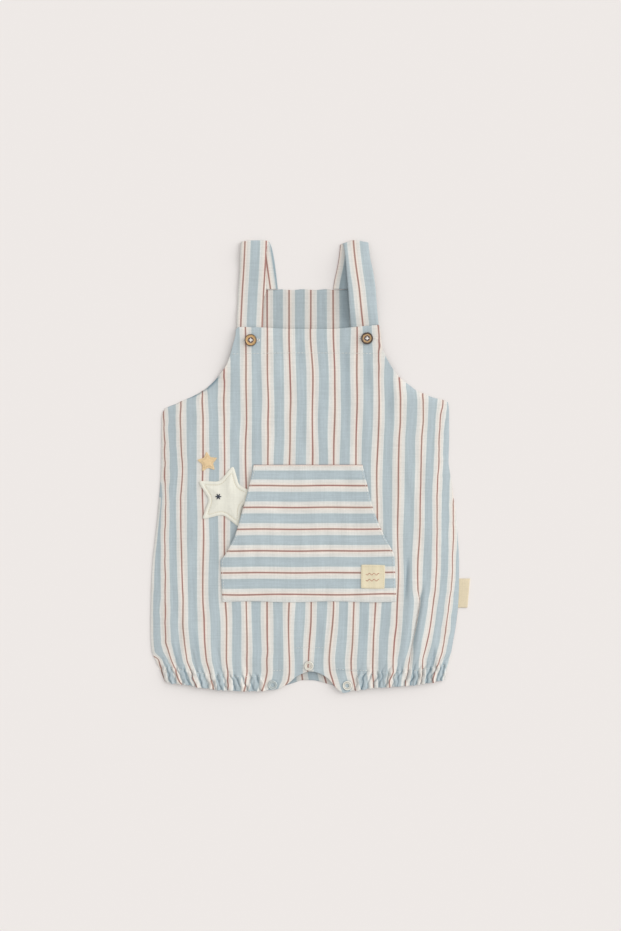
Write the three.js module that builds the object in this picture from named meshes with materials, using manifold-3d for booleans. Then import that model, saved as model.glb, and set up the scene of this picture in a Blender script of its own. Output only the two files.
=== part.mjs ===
// A baby's bib romper (short dungarees with gathered legs and a snap crotch), laid flat, front up.
// Millimetres. +X runs to the viewer's right, +Y from the legs to the bib, +Z up from the surface.
// The origin is on the surface, under the middle of the garment's bounding box.

import * as THREE from "three";
import { mergeVertices } from "three/addons/utils/BufferGeometryUtils.js";
import Module from "manifold-3d";

// Driving sizes
const CLOTH_WALL = 1.2;
const SEAM_GAP = 0.3;
const HEM_END_GAP = 1;
const STRAP_WALL = 1.6;
const BODY_RISE = 1.6;
const BIB_RISE = 2.1;
const BIB_SAG = 1.1;
const HEM_DEPTH = 15;
const GATHER_PITCH = 5.6;
const GATHER_HEIGHT = 0.9;
const GATHER_LEAN = 0.9;
const BUTTON_RADIUS = 6;
const SNAP_RADIUS = 4.75;
const PATCH_SIDE = 23.6;
const APPLIQUE_WALL = 1.5;
const STAR_RADIUS = 33;
const SMALL_STAR_RADIUS = 10.5;

// Front outline, one row for each level, from the legs up
const FRONT_SECTIONS = [
  { y: -196, left: -155.8, right: 137 },
  { y: -184.4, left: -160.4, right: 139.3 },
  { y: -174.4, left: -161.2, right: 141 },
  { y: -159.4, left: -161.5, right: 143.6 },
  { y: -134.4, left: -161.2, right: 146.2 },
  { y: -114.4, left: -160.6, right: 146.8 },
  { y: -94.4, left: -159.4, right: 146.8 },
  { y: -74.4, left: -157.2, right: 145.6 },
  { y: -54.4, left: -155, right: 144.2 },
  { y: -34.4, left: -153.2, right: 141.6 },
  { y: -14.4, left: -151.6, right: 139 },
  { y: 5.6, left: -150.8, right: 136.2 },
  { y: 25.6, left: -150.6, right: 136.8 },
  { y: 50.6, left: -150, right: 136.8 },
  { y: 58.2, left: -146.4, right: 136.6 },
  { y: 61.4, left: -136.2, right: 136 },
  { y: 64.6, left: -130.2, right: 135.3 },
  { y: 66.5, left: -126, right: 128.3 },
  { y: 68.6, left: -121, right: 120.3 },
  { y: 71.6, left: -115.2, right: 113.3 },
  { y: 75.4, left: -108.8, right: 104.3 },
  { y: 80.2, left: -102.2, right: 98 },
  { y: 85.6, left: -97, right: 90.8 },
  { y: 90.6, left: -93, right: 85.3 },
  { y: 97.6, left: -87.7, right: 80.3 },
  { y: 105.6, left: -83.6, right: 75.3 },
  { y: 120.6, left: -79.3, right: 69.3 },
  { y: 133.6, left: -76.3, right: 68.3 },
];
const BIB_TOP = [
  { x: -76.3, y: 136.4 },
  { x: -73, y: 138.9 },
  { x: -49.7, y: 138.4 },
  { x: -21, y: 137 },
  { x: 18, y: 137 },
  { x: 38.3, y: 138.6 },
  { x: 66.4, y: 141 },
];

// Back outline above the side seams; below them it is the front's
const BACK_BIB_SECTIONS = [
  { y: 61.4, left: -137.5, right: 136 },
  { y: 64.6, left: -131.5, right: 135 },
  { y: 68.2, left: -122.5, right: 120 },
  { y: 74.4, left: -111, right: 104 },
  { y: 85.1, left: -97.8, right: 89.8 },
  { y: 90.6, left: -92.8, right: 84 },
  { y: 105.6, left: -82.4, right: 73.5 },
  { y: 120.6, left: -77.8, right: 66 },
  { y: 135.6, left: -73, right: 60 },
  { y: 150.6, left: -65.7, right: 54.5 },
  { y: 165.6, left: -63.4, right: 50.5 },
];
const BACK_BIB_TOP = [
  { x: -62.7, y: 176.9 },
  { x: 49.3, y: 176.9 },
];

// Lower edge, from the left side seam round both legs to the right side seam
const LOWER_EDGE = [
  { x: -152, y: -215.2 },
  { x: -124.2, y: -218.4 },
  { x: -100.7, y: -222.2 },
  { x: -64.9, y: -224.2 },
  { x: -38.3, y: -223.4 },
  { x: -25.7, y: -218.4 },
  { x: -15.4, y: -210.1 },
  { x: -1.8, y: -205 },
  { x: 6, y: -206.6 },
  { x: 15.9, y: -212.3 },
  { x: 24.6, y: -222.2 },
  { x: 32, y: -226.6 },
  { x: 41, y: -224.2 },
  { x: 62.8, y: -221.1 },
  { x: 103.6, y: -218.1 },
  { x: 135, y: -213 },
];
const BACK_CROTCH = [
  { x: -38.3, y: -222.8 },
  { x: -20.8, y: -217.4 },
  { x: -8.7, y: -214 },
  { x: 0.3, y: -214 },
  { x: 10.8, y: -216.3 },
  { x: 24.6, y: -221.2 },
  { x: 32, y: -225.6 },
];

// Gathered leg hems: where each one starts and ends along its lower and its upper edge
const HEMS = [
  { side: "left", start: -147, end: -48.5, topStart: -152.4, topEnd: -48.5, lean: GATHER_LEAN },
  { side: "right", start: 42.4, end: 132.4, topStart: 42.4, topEnd: 135.9, lean: -GATHER_LEAN },
];

// Columns of the panels, measured along the lower edge
const COLUMN_STOPS = [
  { to: -47.6, step: 10.5 },
  { to: -47.1, step: 1 },
  { to: 41.1, step: 5 },
  { to: 41.6, step: 1 },
  { to: 86, step: 11.5 },
  { to: 116, step: 3.8 },
  { to: 135.6, step: 10 },
];
const BACK_COLUMN_STOPS = [
  { to: -47.6, step: 26 },
  { to: -47.1, step: 1 },
  { to: 41.1, step: 7 },
  { to: 41.6, step: 1 },
  { to: 135.6, step: 24 },
];
const COLUMN_START = -152.1;

// Soft folds of the front: a line from (x, y) to (toX, toY), its half width and its height
const FRONT_FOLDS = [
  { x: 108.6, y: -126, toX: 96.6, toY: -190, width: 4.2, height: -0.9 },
  { x: 102, y: -122, toX: 90, toY: -188, width: 5, height: 0.7 },
  { x: 116, y: -128, toX: 104, toY: -192, width: 5, height: 0.6 },
  { x: 95, y: -100, toX: 93.5, toY: -130, width: 4.5, height: -0.5 },
  { x: -132.7, y: -150, toX: -134, toY: -192, width: 8, height: -0.6 },
  { x: -120, y: 40, toX: -126, toY: -110, width: 13, height: 0.5 },
  { x: 118, y: 50, toX: 122, toY: -90, width: 13, height: 0.5 },
  { x: -98, y: 70, toX: -84, toY: 20, width: 9, height: 0.4 },
  { x: 92, y: 66, toX: 76, toY: 16, width: 9, height: 0.4 },
];

// Kangaroo pocket, one row for each level, from its lower edge up
const POCKET_SECTIONS = [
  { y: -135.4, left: -89.6, right: 83.9 },
  { y: -115, left: -90.6, right: 83 },
  { y: -94.7, left: -91.5, right: 82.2 },
  { y: -89.6, left: -87.6, right: 81.8 },
  { y: -78, left: -81, right: 76.3 },
  { y: -67.3, left: -76.2, right: 70.6 },
  { y: -53, left: -72, right: 64.4 },
  { y: -39.2, left: -68, right: 59.7 },
  { y: -18, left: -62.4, right: 54.6 },
  { y: 1.2, left: -58.3, right: 50.1 },
];
const POCKET_OPENING = { bottom: -94.7, top: 1.2 };
const POCKET_GAPE = {
  left: { height: 2.5, flat: 12, reach: 44 },
  right: { height: 1.2, flat: 2, reach: 30 },
};

// Straps: the layer in front from its hidden end up to the fold, then the layer behind down to the back
const STRAPS = [
  {
    side: "left",
    foldDip: 0.9,
    front: [
      { y: 113.6, left: -71.2, right: -50.2, under: 1.5 },
      { y: 138.6, left: -75.2, right: -49.4, under: 1.5 },
      { y: 165.6, left: -74.4, right: -48.7, under: 2.3 },
      { y: 176.6, left: -73.8, right: -46.6, under: 2.9 },
      { y: 190.6, left: -72.8, right: -46.4, under: 3.1 },
      { y: 210.6, left: -71.9, right: -46.4, under: 2.7 },
      { y: 223.9, left: -71.1, right: -44.6, under: 1.9 },
    ],
    back: [
      { y: 223.9, left: -69.2, right: -42.9 },
      { y: 217.6, left: -67.5, right: -40.6 },
      { y: 197.6, left: -63.7, right: -37.1 },
      { y: 177.2, left: -61.2, right: -34.8 },
    ],
  },
  {
    side: "right",
    foldDip: 2.6,
    front: [
      { y: 113.6, left: 40.8, right: 67.3, under: 1.5 },
      { y: 142, left: 38.7, right: 66.1, under: 1.5 },
      { y: 152, left: 37.9, right: 65, under: 3.1 },
      { y: 165.6, left: 36.9, right: 63.9, under: 4.6 },
      { y: 176.6, left: 36.1, right: 63.1, under: 5.2 },
      { y: 192.6, left: 34.8, right: 60.9, under: 5.2 },
      { y: 210.1, left: 33.3, right: 57.3, under: 3.8 },
      { y: 223.9, left: 31.5, right: 56, under: 1.9 },
    ],
    back: [
      { y: 223.9, left: 28.5, right: 54.8 },
      { y: 210.1, left: 27.2, right: 53.8 },
      { y: 197.6, left: 25.1, right: 51.8 },
      { y: 184.6, left: 22.3, right: 48.8 },
      { y: 177.2, left: 21.3, right: 47.8 },
    ],
  },
];
const STRAP_STATION = 14;
const FOLD_STEPS = 6;

// Small pieces
const BUTTONS = [
  { side: "left", x: -61.4, y: 125.8 },
  { side: "right", x: 54.8, y: 127.6 },
];
const SNAPS = [
  { side: "left", x: -39.4, y: -218.8 },
  { side: "middle", x: -3.3, y: -199.6 },
  { side: "right", x: 35, y: -219.4 },
];
const PATCH_CENTRE = { x: 60.6, y: -110.4 };
const STAR = { x: -85.7, y: -31.4, turn: 6 };
const SMALL_STAR = { x: -104.5, y: 4, turn: 24 };
const SIDE_LABEL = { top: -112.6, bottom: -141.6, reachTop: 158.9, reachBottom: 156.9, wall: 1 };

// Colours, from the cloth and the trims
const COLOURS = {
  chambray: 0xc4d1d6,
  chambrayInside: 0xb6c2c9,
  cream: 0xe5e3d6,
  tan: 0xdbc5a4,
  label: 0xe5d6b8,
  button: 0x7a5633,
  snap: 0xd9d6cf,
};

const mix = (a, b, share) => a + (b - a) * share;

function smoothStep(from, to, value) {
  const share = THREE.MathUtils.clamp((value - from) / (to - from), 0, 1);
  return share * share * (3 - 2 * share);
}

/** Value of a table's column at a place along another column, straight between its rows. */
function read(table, along, place, column) {
  const after = table.findIndex((row) => row[along] >= place);
  if (after <= 0) return table.at(after === 0 ? 0 : -1)[column];
  const [a, b] = [table[after - 1], table[after]];
  return mix(a[column], b[column], (place - a[along]) / (b[along] - a[along]));
}

/** Evenly spaced values after `from`, up to and with `to`, no farther apart than `step`. */
function spread(from, to, step) {
  const count = Math.ceil(Math.abs(to - from) / step);
  return Array.from({ length: count }, (_, k) => mix(from, to, (k + 1) / count));
}

/** Rows of a section table with straight rows put between those farther apart than `step`. */
function denser(table, along, step) {
  const rows = [table[0]];
  for (const row of table.slice(1)) {
    const before = rows.at(-1);
    for (const share of spread(0, 1, step / Math.abs(row[along] - before[along]))) {
      const made = {};
      for (const column of Object.keys(row)) made[column] = mix(before[column], row[column], share);
      rows.push(made);
    }
  }
  return rows;
}

/** A geometry of merged points and no flat triangles, its faces turned outwards. */
function closed(points, triangles) {
  const geometry = new THREE.BufferGeometry().setFromPoints(points);
  geometry.setIndex(triangles.flat());
  return tidied(geometry);
}

function tidied(geometry) {
  geometry.deleteAttribute("normal");
  geometry.deleteAttribute("uv");
  const merged = mergeVertices(geometry, 1e-3);
  const index = merged.index.array;
  const place = merged.getAttribute("position");
  const corners = [0, 1, 2].map(() => new THREE.Vector3());
  const kept = [];
  let volume = 0;
  for (let i = 0; i < index.length; i += 3) {
    const [a, b, c] = [index[i], index[i + 1], index[i + 2]];
    if (a === b || b === c || a === c) continue;
    [a, b, c].forEach((vertex, k) => corners[k].fromBufferAttribute(place, vertex));
    volume += corners[0].dot(corners[1].clone().cross(corners[2]));
    kept.push([a, b, c]);
  }
  merged.setIndex(kept.flatMap(([a, b, c]) => (volume < 0 ? [a, c, b] : [a, b, c])));
  merged.computeVertexNormals();
  return merged;
}

/** The closed wall between two matched grids of points, rows by columns. */
function wallBetween(under, over) {
  const rows = under.length;
  const columns = under[0].length;
  const low = (i, j) => i * columns + j;
  const high = (i, j) => (rows + i) * columns + j;
  const triangles = [];
  const quad = (a, b, c, d) => triangles.push([a, b, c], [a, c, d]);
  for (let i = 0; i + 1 < rows; i += 1) {
    for (let j = 0; j + 1 < columns; j += 1) {
      quad(high(i, j), high(i, j + 1), high(i + 1, j + 1), high(i + 1, j));
      quad(low(i, j), low(i + 1, j), low(i + 1, j + 1), low(i, j + 1));
    }
    quad(low(i + 1, 0), low(i, 0), high(i, 0), high(i + 1, 0));
    quad(low(i, columns - 1), low(i + 1, columns - 1), high(i + 1, columns - 1), high(i, columns - 1));
  }
  for (let j = 0; j + 1 < columns; j += 1) {
    const last = rows - 1;
    quad(low(0, j), low(0, j + 1), high(0, j + 1), high(0, j));
    quad(low(last, j + 1), low(last, j), high(last, j), high(last, j + 1));
  }
  return closed([...under.flat(), ...over.flat()], triangles);
}

/** A wall over a grid of flat points, from `under(x, y)` up to `over(x, y)`. */
function clothOver(grid, under, over) {
  const lift = (height) => grid.map((row) => row.map(({ x, y }) => new THREE.Vector3(x, y, height(x, y))));
  return wallBetween(lift(under), lift(over));
}

/** A flat plate that follows a surface: rings of its outline drawn in towards its middle. */
function plateOver(outline, middle, under, wall, rings) {
  const flat = [];
  for (const share of spread(0, 1, 1 / rings)) {
    flat.push(outline.map((p) => new THREE.Vector2().lerpVectors(middle, p, share)));
  }
  const count = outline.length;
  const layer = (height) => [middle, ...flat.flat()].map((p) => new THREE.Vector3(p.x, p.y, height(p.x, p.y)));
  const points = [...layer(under), ...layer((x, y) => under(x, y) + wall)];
  const half = points.length / 2;
  const triangles = [];
  const ring = (k, j) => 1 + k * count + (j % count);
  for (let j = 0; j < count; j += 1) {
    triangles.push([half, half + ring(0, j), half + ring(0, j + 1)]);
    triangles.push([0, ring(0, j + 1), ring(0, j)]);
    for (let k = 0; k + 1 < rings; k += 1) {
      const [a, b, c, d] = [ring(k, j), ring(k + 1, j), ring(k + 1, j + 1), ring(k, j + 1)];
      triangles.push([half + a, half + b, half + c], [half + a, half + c, half + d]);
      triangles.push([a, c, b], [a, d, c]);
    }
    const [a, b] = [ring(rings - 1, j), ring(rings - 1, j + 1)];
    triangles.push([a, b, half + b], [a, half + b, half + a]);
  }
  return closed(points, triangles);
}

/** Flat points of a body panel: bent rows up from its lower edge, straight ones, then its top edge. */
function panelGrid(sections, stops, lowerEdge, topEdge, step) {
  const columns = [COLUMN_START];
  for (const stop of stops) columns.push(...spread(columns.at(-1), stop.to, stop.step));
  const shares = columns.map((x) => (x - COLUMN_START) / (columns.at(-1) - COLUMN_START));
  const base = sections[0];
  const bentRows = 3;
  const grid = [];
  for (let k = 0; k < bentRows; k += 1) {
    const up = k / bentRows;
    const bent = (x, j) => ({
      x: mix(x, mix(base.left, base.right, shares[j]), up),
      y: mix(lowerEdge(x), base.y, up),
    });
    grid.push(columns.map(bent));
  }
  for (const row of denser(sections, "y", step)) {
    grid.push(shares.map((share) => ({ x: mix(row.left, row.right, share), y: row.y })));
  }
  const [first, last] = [topEdge[0].x, topEdge.at(-1).x];
  grid.push(
    shares.map((share) => {
      const x = mix(first, last, share);
      return { x, y: read(topEdge, "x", x, "y") };
    }),
  );
  return grid;
}

/** Lower edge of a panel: the hem's upper edge over each leg, and the open crotch between them. */
function panelLowerEdge(crotch) {
  const [leftEnd, rightStart] = [HEMS[0].end, HEMS[1].start];
  return (x) => {
    const overLeg = x < leftEnd + HEM_END_GAP || x > rightStart - HEM_END_GAP;
    if (overLeg) return read(LOWER_EDGE, "x", x, "y") + HEM_DEPTH + SEAM_GAP;
    return read(crotch, "x", x, "y");
  };
}

/** Height of all soft folds at a place on the front. */
function foldHeight(x, y) {
  let height = 0;
  for (const fold of FRONT_FOLDS) {
    const along = new THREE.Vector2(fold.toX - fold.x, fold.toY - fold.y);
    const from = new THREE.Vector2(x - fold.x, y - fold.y);
    const share = THREE.MathUtils.clamp(from.dot(along) / along.lengthSq(), 0, 1);
    const away = from.addScaledVector(along, -share).length() / fold.width;
    height += fold.height * Math.sin(Math.PI * mix(0.12, 0.88, share)) * Math.exp(-away * away);
  }
  return height;
}

/** Underside of the front: on the back at the side seams, over the strap ends at the bib. */
function frontUnder(x, y) {
  const left = read(FRONT_SECTIONS, "y", y, "left");
  const right = read(FRONT_SECTIONS, "y", y, "right");
  const across = THREE.MathUtils.clamp(Math.abs((2 * (x - left)) / (right - left) - 1), 0, 1);
  const inside = 1 - across ** 6;
  const lowEdge = smoothStep(-214, -190, y);
  const body = (BODY_RISE + foldHeight(x, y)) * inside * mix(0.35, 1, lowEdge);
  const bib = BIB_RISE - BIB_SAG * smoothStep(-46, -30, x) * (1 - smoothStep(26, 42, x));
  return CLOTH_WALL + SEAM_GAP + mix(body, bib, smoothStep(78, 104, y));
}

const frontTop = (x, y) => frontUnder(x, y) + CLOTH_WALL;

/** How far the pocket stands off the front, between its two slanted openings. */
function pocketUnder(x, y) {
  const open = THREE.MathUtils.clamp(
    (y - POCKET_OPENING.bottom) / (POCKET_OPENING.top - POCKET_OPENING.bottom),
    0,
    1,
  );
  const gape = Math.sin(Math.PI * open) ** 0.7;
  const fromLeft = x - read(POCKET_SECTIONS, "y", y, "left");
  const fromRight = read(POCKET_SECTIONS, "y", y, "right") - x;
  const rise = (mouth, away) => mouth.height * gape * (1 - smoothStep(mouth.flat, mouth.reach, away));
  const lift = rise(POCKET_GAPE.left, fromLeft) + rise(POCKET_GAPE.right, fromRight);
  return frontTop(x, y) + SEAM_GAP + lift;
}

const pocketTop = (x, y) => pocketUnder(x, y) + CLOTH_WALL;

function backPanel() {
  const sections = [...FRONT_SECTIONS.filter((row) => row.y < 60), ...BACK_BIB_SECTIONS];
  const crotch = [...LOWER_EDGE.filter((p) => p.x < -40), ...BACK_CROTCH, ...LOWER_EDGE.filter((p) => p.x > 40)];
  const grid = panelGrid(sections, BACK_COLUMN_STOPS, panelLowerEdge(crotch), BACK_BIB_TOP, 25);
  return clothOver(
    grid,
    () => 0,
    () => CLOTH_WALL,
  );
}

function frontPanel() {
  const grid = panelGrid(FRONT_SECTIONS, COLUMN_STOPS, panelLowerEdge(LOWER_EDGE), BIB_TOP, 15);
  return clothOver(grid, frontUnder, frontTop);
}

/** One gathered hem: even waves that lean, flat below on the back layer, stacked on it in front. */
function hem(row, isFront) {
  const gathers = Math.round((row.end - row.start) / GATHER_PITCH);
  const columns = spread(0, 1, 1 / (4 * gathers));
  const grid = [0, 1].map((up) =>
    [0, ...columns].map((share) => {
      const low = mix(row.start, row.end, share);
      const lowY = read(LOWER_EDGE, "x", low, "y") + (isFront ? 0 : 0.6) * (1 - up);
      const x = mix(low, mix(row.topStart, row.topEnd, share), up);
      const wave = 0.5 - 0.5 * Math.cos(2 * Math.PI * (gathers * share + row.lean * up));
      return { x, y: lowY + HEM_DEPTH * up, wave: wave * mix(1, 0.6, up) };
    }),
  );
  const lift = (height) => grid.map((line) => line.map((p) => new THREE.Vector3(p.x, p.y, height(p.wave))));
  const backTop = (wave) => CLOTH_WALL + GATHER_HEIGHT * wave;
  const frontLow = (wave) => backTop(wave) + SEAM_GAP;
  const frontHigh = (wave) => frontLow(wave) + CLOTH_WALL + GATHER_HEIGHT * wave;
  return isFront ? wallBetween(lift(frontLow), lift(frontHigh)) : wallBetween(lift(() => 0), lift(backTop));
}

function pocket() {
  const grid = denser(POCKET_SECTIONS, "y", 13).map((row) =>
    [0, ...spread(0, 1, 1 / 14)].map((share) => ({ x: mix(row.left, row.right, share), y: row.y })),
  );
  return clothOver(grid, pocketUnder, pocketTop);
}

/** A tape folded back on itself: its front layer, a half turn over the fold, then its back layer. */
function foldedTape({ front, back, foldDip = 0, wall, across }) {
  const inner = [];
  const outer = [];
  const shares = [0, ...spread(0, 1, 1 / across)];
  const line = (row, height, out) =>
    shares.map((share) => {
      const dip = foldDip * (1 - share) * (row.nearFold ?? 0);
      return new THREE.Vector3(mix(row.left, row.right, share), row.y + out - dip, height);
    });
  const near = (row) => smoothStep(front.at(-1).y - STRAP_STATION, front.at(-1).y, row.y);
  for (const row of denser(front, "y", STRAP_STATION)) {
    const placed = { ...row, nearFold: near(row) };
    inner.push(line(placed, row.under, 0));
    outer.push(line(placed, row.under + wall, 0));
  }
  const [top, bottom] = [front.at(-1), back[0]];
  const centre = (top.under + wall) / 2;
  for (const turned of spread(0, 1, 1 / FOLD_STEPS).slice(0, -1)) {
    const angle = Math.PI * (0.5 - turned);
    const row = { left: mix(top.left, bottom.left, turned), right: mix(top.right, bottom.right, turned) };
    for (const [lines, radius] of [
      [inner, centre - wall],
      [outer, centre],
    ]) {
      const placed = { ...row, y: top.y, nearFold: 1 };
      lines.push(line(placed, centre + radius * Math.sin(angle), radius * Math.cos(angle)));
    }
  }
  for (const row of denser(back, "y", STRAP_STATION)) {
    const placed = { ...row, nearFold: near(row) };
    inner.push(line(placed, wall, 0));
    outer.push(line(placed, 0, 0));
  }
  return wallBetween(inner, outer);
}

/** The side label is the same folded tape, turned so that its fold faces away from the side seam. */
function sideLabel() {
  const { top, bottom, reachTop, reachBottom, wall } = SIDE_LABEL;
  const seam = (y) => read(FRONT_SECTIONS, "y", y, "right") + SEAM_GAP;
  const radius = wall + SEAM_GAP / 2;
  const shares = [0, 0.5, 1];
  const line = (out, height, turnOut) =>
    shares.map((share) => {
      const y = mix(top, bottom, share);
      const reach = mix(reachTop, reachBottom, share) - radius;
      return new THREE.Vector3(mix(seam(y), reach, out) + turnOut, y, height);
    });
  const upper = wall + SEAM_GAP;
  const inner = [line(0, upper, 0), line(1, upper, 0)];
  const outer = [line(0, upper + wall, 0), line(1, upper + wall, 0)];
  for (const turned of spread(0, 1, 1 / FOLD_STEPS).slice(0, -1)) {
    const angle = Math.PI * (0.5 - turned);
    const turn = (r) => line(1, radius + r * Math.sin(angle), r * Math.cos(angle));
    inner.push(turn(SEAM_GAP / 2));
    outer.push(turn(radius));
  }
  inner.push(line(1, wall, 0), line(0, wall, 0));
  outer.push(line(1, 0, 0), line(0, 0, 0));
  return wallBetween(inner, outer);
}

/** Outline of a five-pointed star with softly turned points. */
function starOutline({ x, y, turn }, radius) {
  const softness = 0.2;
  const corners = Array.from({ length: 10 }, (_, k) => {
    const reach = k % 2 ? radius * 0.52 : radius;
    const angle = THREE.MathUtils.degToRad(turn + 36 * k);
    return new THREE.Vector2(x + reach * Math.cos(angle), y + reach * Math.sin(angle));
  });
  const outline = [];
  corners.forEach((corner, k) => {
    const before = corner.clone().lerp(corners.at(k - 1), softness);
    const after = corner.clone().lerp(corners[(k + 1) % corners.length], softness);
    outline.push(...new THREE.QuadraticBezierCurve(before, corner, after).getPoints(2));
  });
  return outline;
}

function star(place, radius) {
  const middle = new THREE.Vector2(place.x, place.y);
  const under = (x, y) => frontTop(x, y) + SEAM_GAP;
  return plateOver(starOutline(place, radius), middle, under, APPLIQUE_WALL, 3);
}

function patch() {
  const half = PATCH_SIDE / 2;
  const steps = [-half, ...spread(-half, half, 6)];
  const grid = steps.map((dy) => steps.map((dx) => ({ x: PATCH_CENTRE.x + dx, y: PATCH_CENTRE.y + dy })));
  return clothOver(
    grid,
    (x, y) => pocketTop(x, y) + SEAM_GAP,
    (x, y) => pocketTop(x, y) + SEAM_GAP + 1,
  );
}

/** A turned shape about +Z from its profile of radius and height. */
function turned(profile, segments) {
  const points = profile.map(({ radius, height }) => new THREE.Vector2(radius, height));
  return tidied(new THREE.LatheGeometry(points, segments).rotateX(Math.PI / 2));
}

const wasm = await Module();
wasm.setup();

function solidOf(geometry) {
  const { array } = geometry.getAttribute("position");
  return new wasm.Manifold(
    new wasm.Mesh({ numProp: 3, vertProperties: array, triVerts: new Uint32Array(geometry.index.array) }),
  );
}

function geometryOf(solid) {
  const { vertProperties, triVerts } = solid.getMesh();
  const geometry = new THREE.BufferGeometry();
  geometry.setAttribute("position", new THREE.BufferAttribute(vertProperties, 3));
  geometry.setIndex(new THREE.BufferAttribute(triVerts, 1));
  return tidied(geometry);
}

/** Four-hole button with a raised rim. */
function button() {
  const profile = [
    { radius: 0, height: 0 },
    { radius: BUTTON_RADIUS - 1.6, height: 0 },
    { radius: BUTTON_RADIUS - 0.4, height: 0.6 },
    { radius: BUTTON_RADIUS, height: 1.4 },
    { radius: BUTTON_RADIUS - 0.4, height: 2.2 },
    { radius: BUTTON_RADIUS - 1.2, height: 2.5 },
    { radius: BUTTON_RADIUS - 2.1, height: 2 },
    { radius: 0, height: 1.8 },
  ];
  const hole = { radius: 0.8, spacing: 1.6, length: 6 };
  let body = solidOf(turned(profile, 28));
  for (const [sx, sy] of [
    [1, 1],
    [-1, 1],
    [-1, -1],
    [1, -1],
  ]) {
    const drill = new THREE.CylinderGeometry(hole.radius, hole.radius, hole.length, 10);
    drill.rotateX(Math.PI / 2).translate(sx * hole.spacing, sy * hole.spacing, 0);
    body = body.subtract(solidOf(tidied(drill)));
  }
  return geometryOf(body);
}

/** Open ring cap of a press stud: the cloth shows through its middle. */
function snapRing() {
  const hole = SNAP_RADIUS - 1.65;
  const profile = [
    { radius: hole, height: 0 },
    { radius: SNAP_RADIUS - 0.3, height: 0 },
    { radius: SNAP_RADIUS, height: 0.4 },
    { radius: SNAP_RADIUS - 0.4, height: 1 },
    { radius: SNAP_RADIUS - 1.1, height: 1.15 },
    { radius: hole, height: 0.7 },
    { radius: hole, height: 0 },
  ];
  return turned(profile, 20);
}

const romper = new THREE.Group();

function add(name, geometry, colour, roughness = 0.9, metalness = 0) {
  const material = new THREE.MeshStandardMaterial({ color: colour, roughness, metalness });
  const mesh = new THREE.Mesh(geometry, material);
  mesh.name = name;
  romper.add(mesh);
  return mesh;
}

add("back_panel", backPanel(), COLOURS.chambrayInside);
add("front_panel", frontPanel(), COLOURS.chambray);
for (const row of HEMS) {
  add(`back_${row.side}_leg_hem`, hem(row, false), COLOURS.chambrayInside);
  add(`front_${row.side}_leg_hem`, hem(row, true), COLOURS.chambray);
}
add("pocket", pocket(), COLOURS.chambray);
for (const row of STRAPS) {
  add(`${row.side}_strap`, foldedTape({ ...row, wall: STRAP_WALL, across: 3 }), COLOURS.chambray);
}
add("star_applique", star(STAR, STAR_RADIUS), COLOURS.cream);
add("small_star_applique", star(SMALL_STAR, SMALL_STAR_RADIUS), COLOURS.tan);
add("pocket_patch", patch(), COLOURS.label);
add("side_label", sideLabel(), COLOURS.label);
for (const row of BUTTONS) {
  const mesh = add(`${row.side}_button`, button(), COLOURS.button, 0.35);
  mesh.position.set(row.x, row.y, frontTop(row.x, row.y) + SEAM_GAP);
}
for (const row of SNAPS) {
  const mesh = add(`${row.side}_snap`, snapRing(), COLOURS.snap, 0.4);
  mesh.position.set(row.x, row.y, frontTop(row.x, row.y) + SEAM_GAP);
}

export default romper;
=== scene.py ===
"""A baby's bib romper laid flat, front up: its striped cloth, gathers, stitching, buttons and snaps.

The garment's own sizes are in millimetres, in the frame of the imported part, and every mesh is written
in metres. +X runs to the viewer's right, +Y from the legs to the bib, +Z up from the floor.
"""

import logging
import math
from dataclasses import dataclass
from enum import Enum
from typing import Callable

import bmesh
import bpy
import numpy as np
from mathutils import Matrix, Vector


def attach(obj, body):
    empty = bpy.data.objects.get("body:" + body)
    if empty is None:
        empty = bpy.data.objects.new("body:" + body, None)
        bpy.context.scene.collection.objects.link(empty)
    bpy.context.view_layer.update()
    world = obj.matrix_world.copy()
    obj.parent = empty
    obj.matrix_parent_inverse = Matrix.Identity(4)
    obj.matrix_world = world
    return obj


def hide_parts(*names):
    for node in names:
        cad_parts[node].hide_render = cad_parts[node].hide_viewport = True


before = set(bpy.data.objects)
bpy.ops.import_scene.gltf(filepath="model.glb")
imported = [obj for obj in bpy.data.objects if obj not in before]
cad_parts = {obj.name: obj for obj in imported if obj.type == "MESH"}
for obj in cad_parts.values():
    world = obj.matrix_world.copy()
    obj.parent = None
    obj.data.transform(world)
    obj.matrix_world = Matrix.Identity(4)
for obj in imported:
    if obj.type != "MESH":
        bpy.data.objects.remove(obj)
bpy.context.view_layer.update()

Array = np.ndarray
Curve = Callable[[Array], Array]
Field = Callable[[Array, Array], Array]
Rows = tuple[tuple[float, ...], ...]
Tone = tuple[float, float, float]
Stitches = list[tuple[Array, Array]]
Piece = bpy.types.Object
Socket = bpy.types.NodeSocket
Material = bpy.types.Material

MM = 0.001
BODY = "root"
UV_NAME = "cloth"
STRIPE_REPEAT = 22.05
POCKET_REPEAT = 21.75
CLOTH_WALL = 1.2
SEAM_GAP = 0.3
HEM_DEPTH = 14.0
LIGHT_LEVEL = 1.05
# Name of the point attribute that holds painted shade: how strongly each vertex is darkened in folds, slits
# and shadows
PAINTED_SHADE_NAME = "painted_shade"
GROUND = 0.04
BACK_RISE = 1.05
BODY_RISE = 2.7
BIB_RISE = 2.1
BIB_SAG = 1.1
EDGE_DROP = 1.65
HEM_GROOVE = 0.55
POCKET_GAPE = (2.5, 1.2)
PATCH_RISE = 0.95
BIB_FACING_LEVEL = 113.2
EDGE_STRIPE = -7.82
BACK_DRIFT = 6.6
POCKET_RED_LINE = -20.1
POCKET_LAST_STRIPE = -5.255
BUTTONHOLE_HALF = 7.2
EVEN_LIGHT = 0.67
# Out and down from a sheet's edge for each ring of its turned edge
EDGE_ROLL = ((0.16, 0.14), (0.2, 0.34), (-0.35, 0.5), (-3.0, 0.52))

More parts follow.
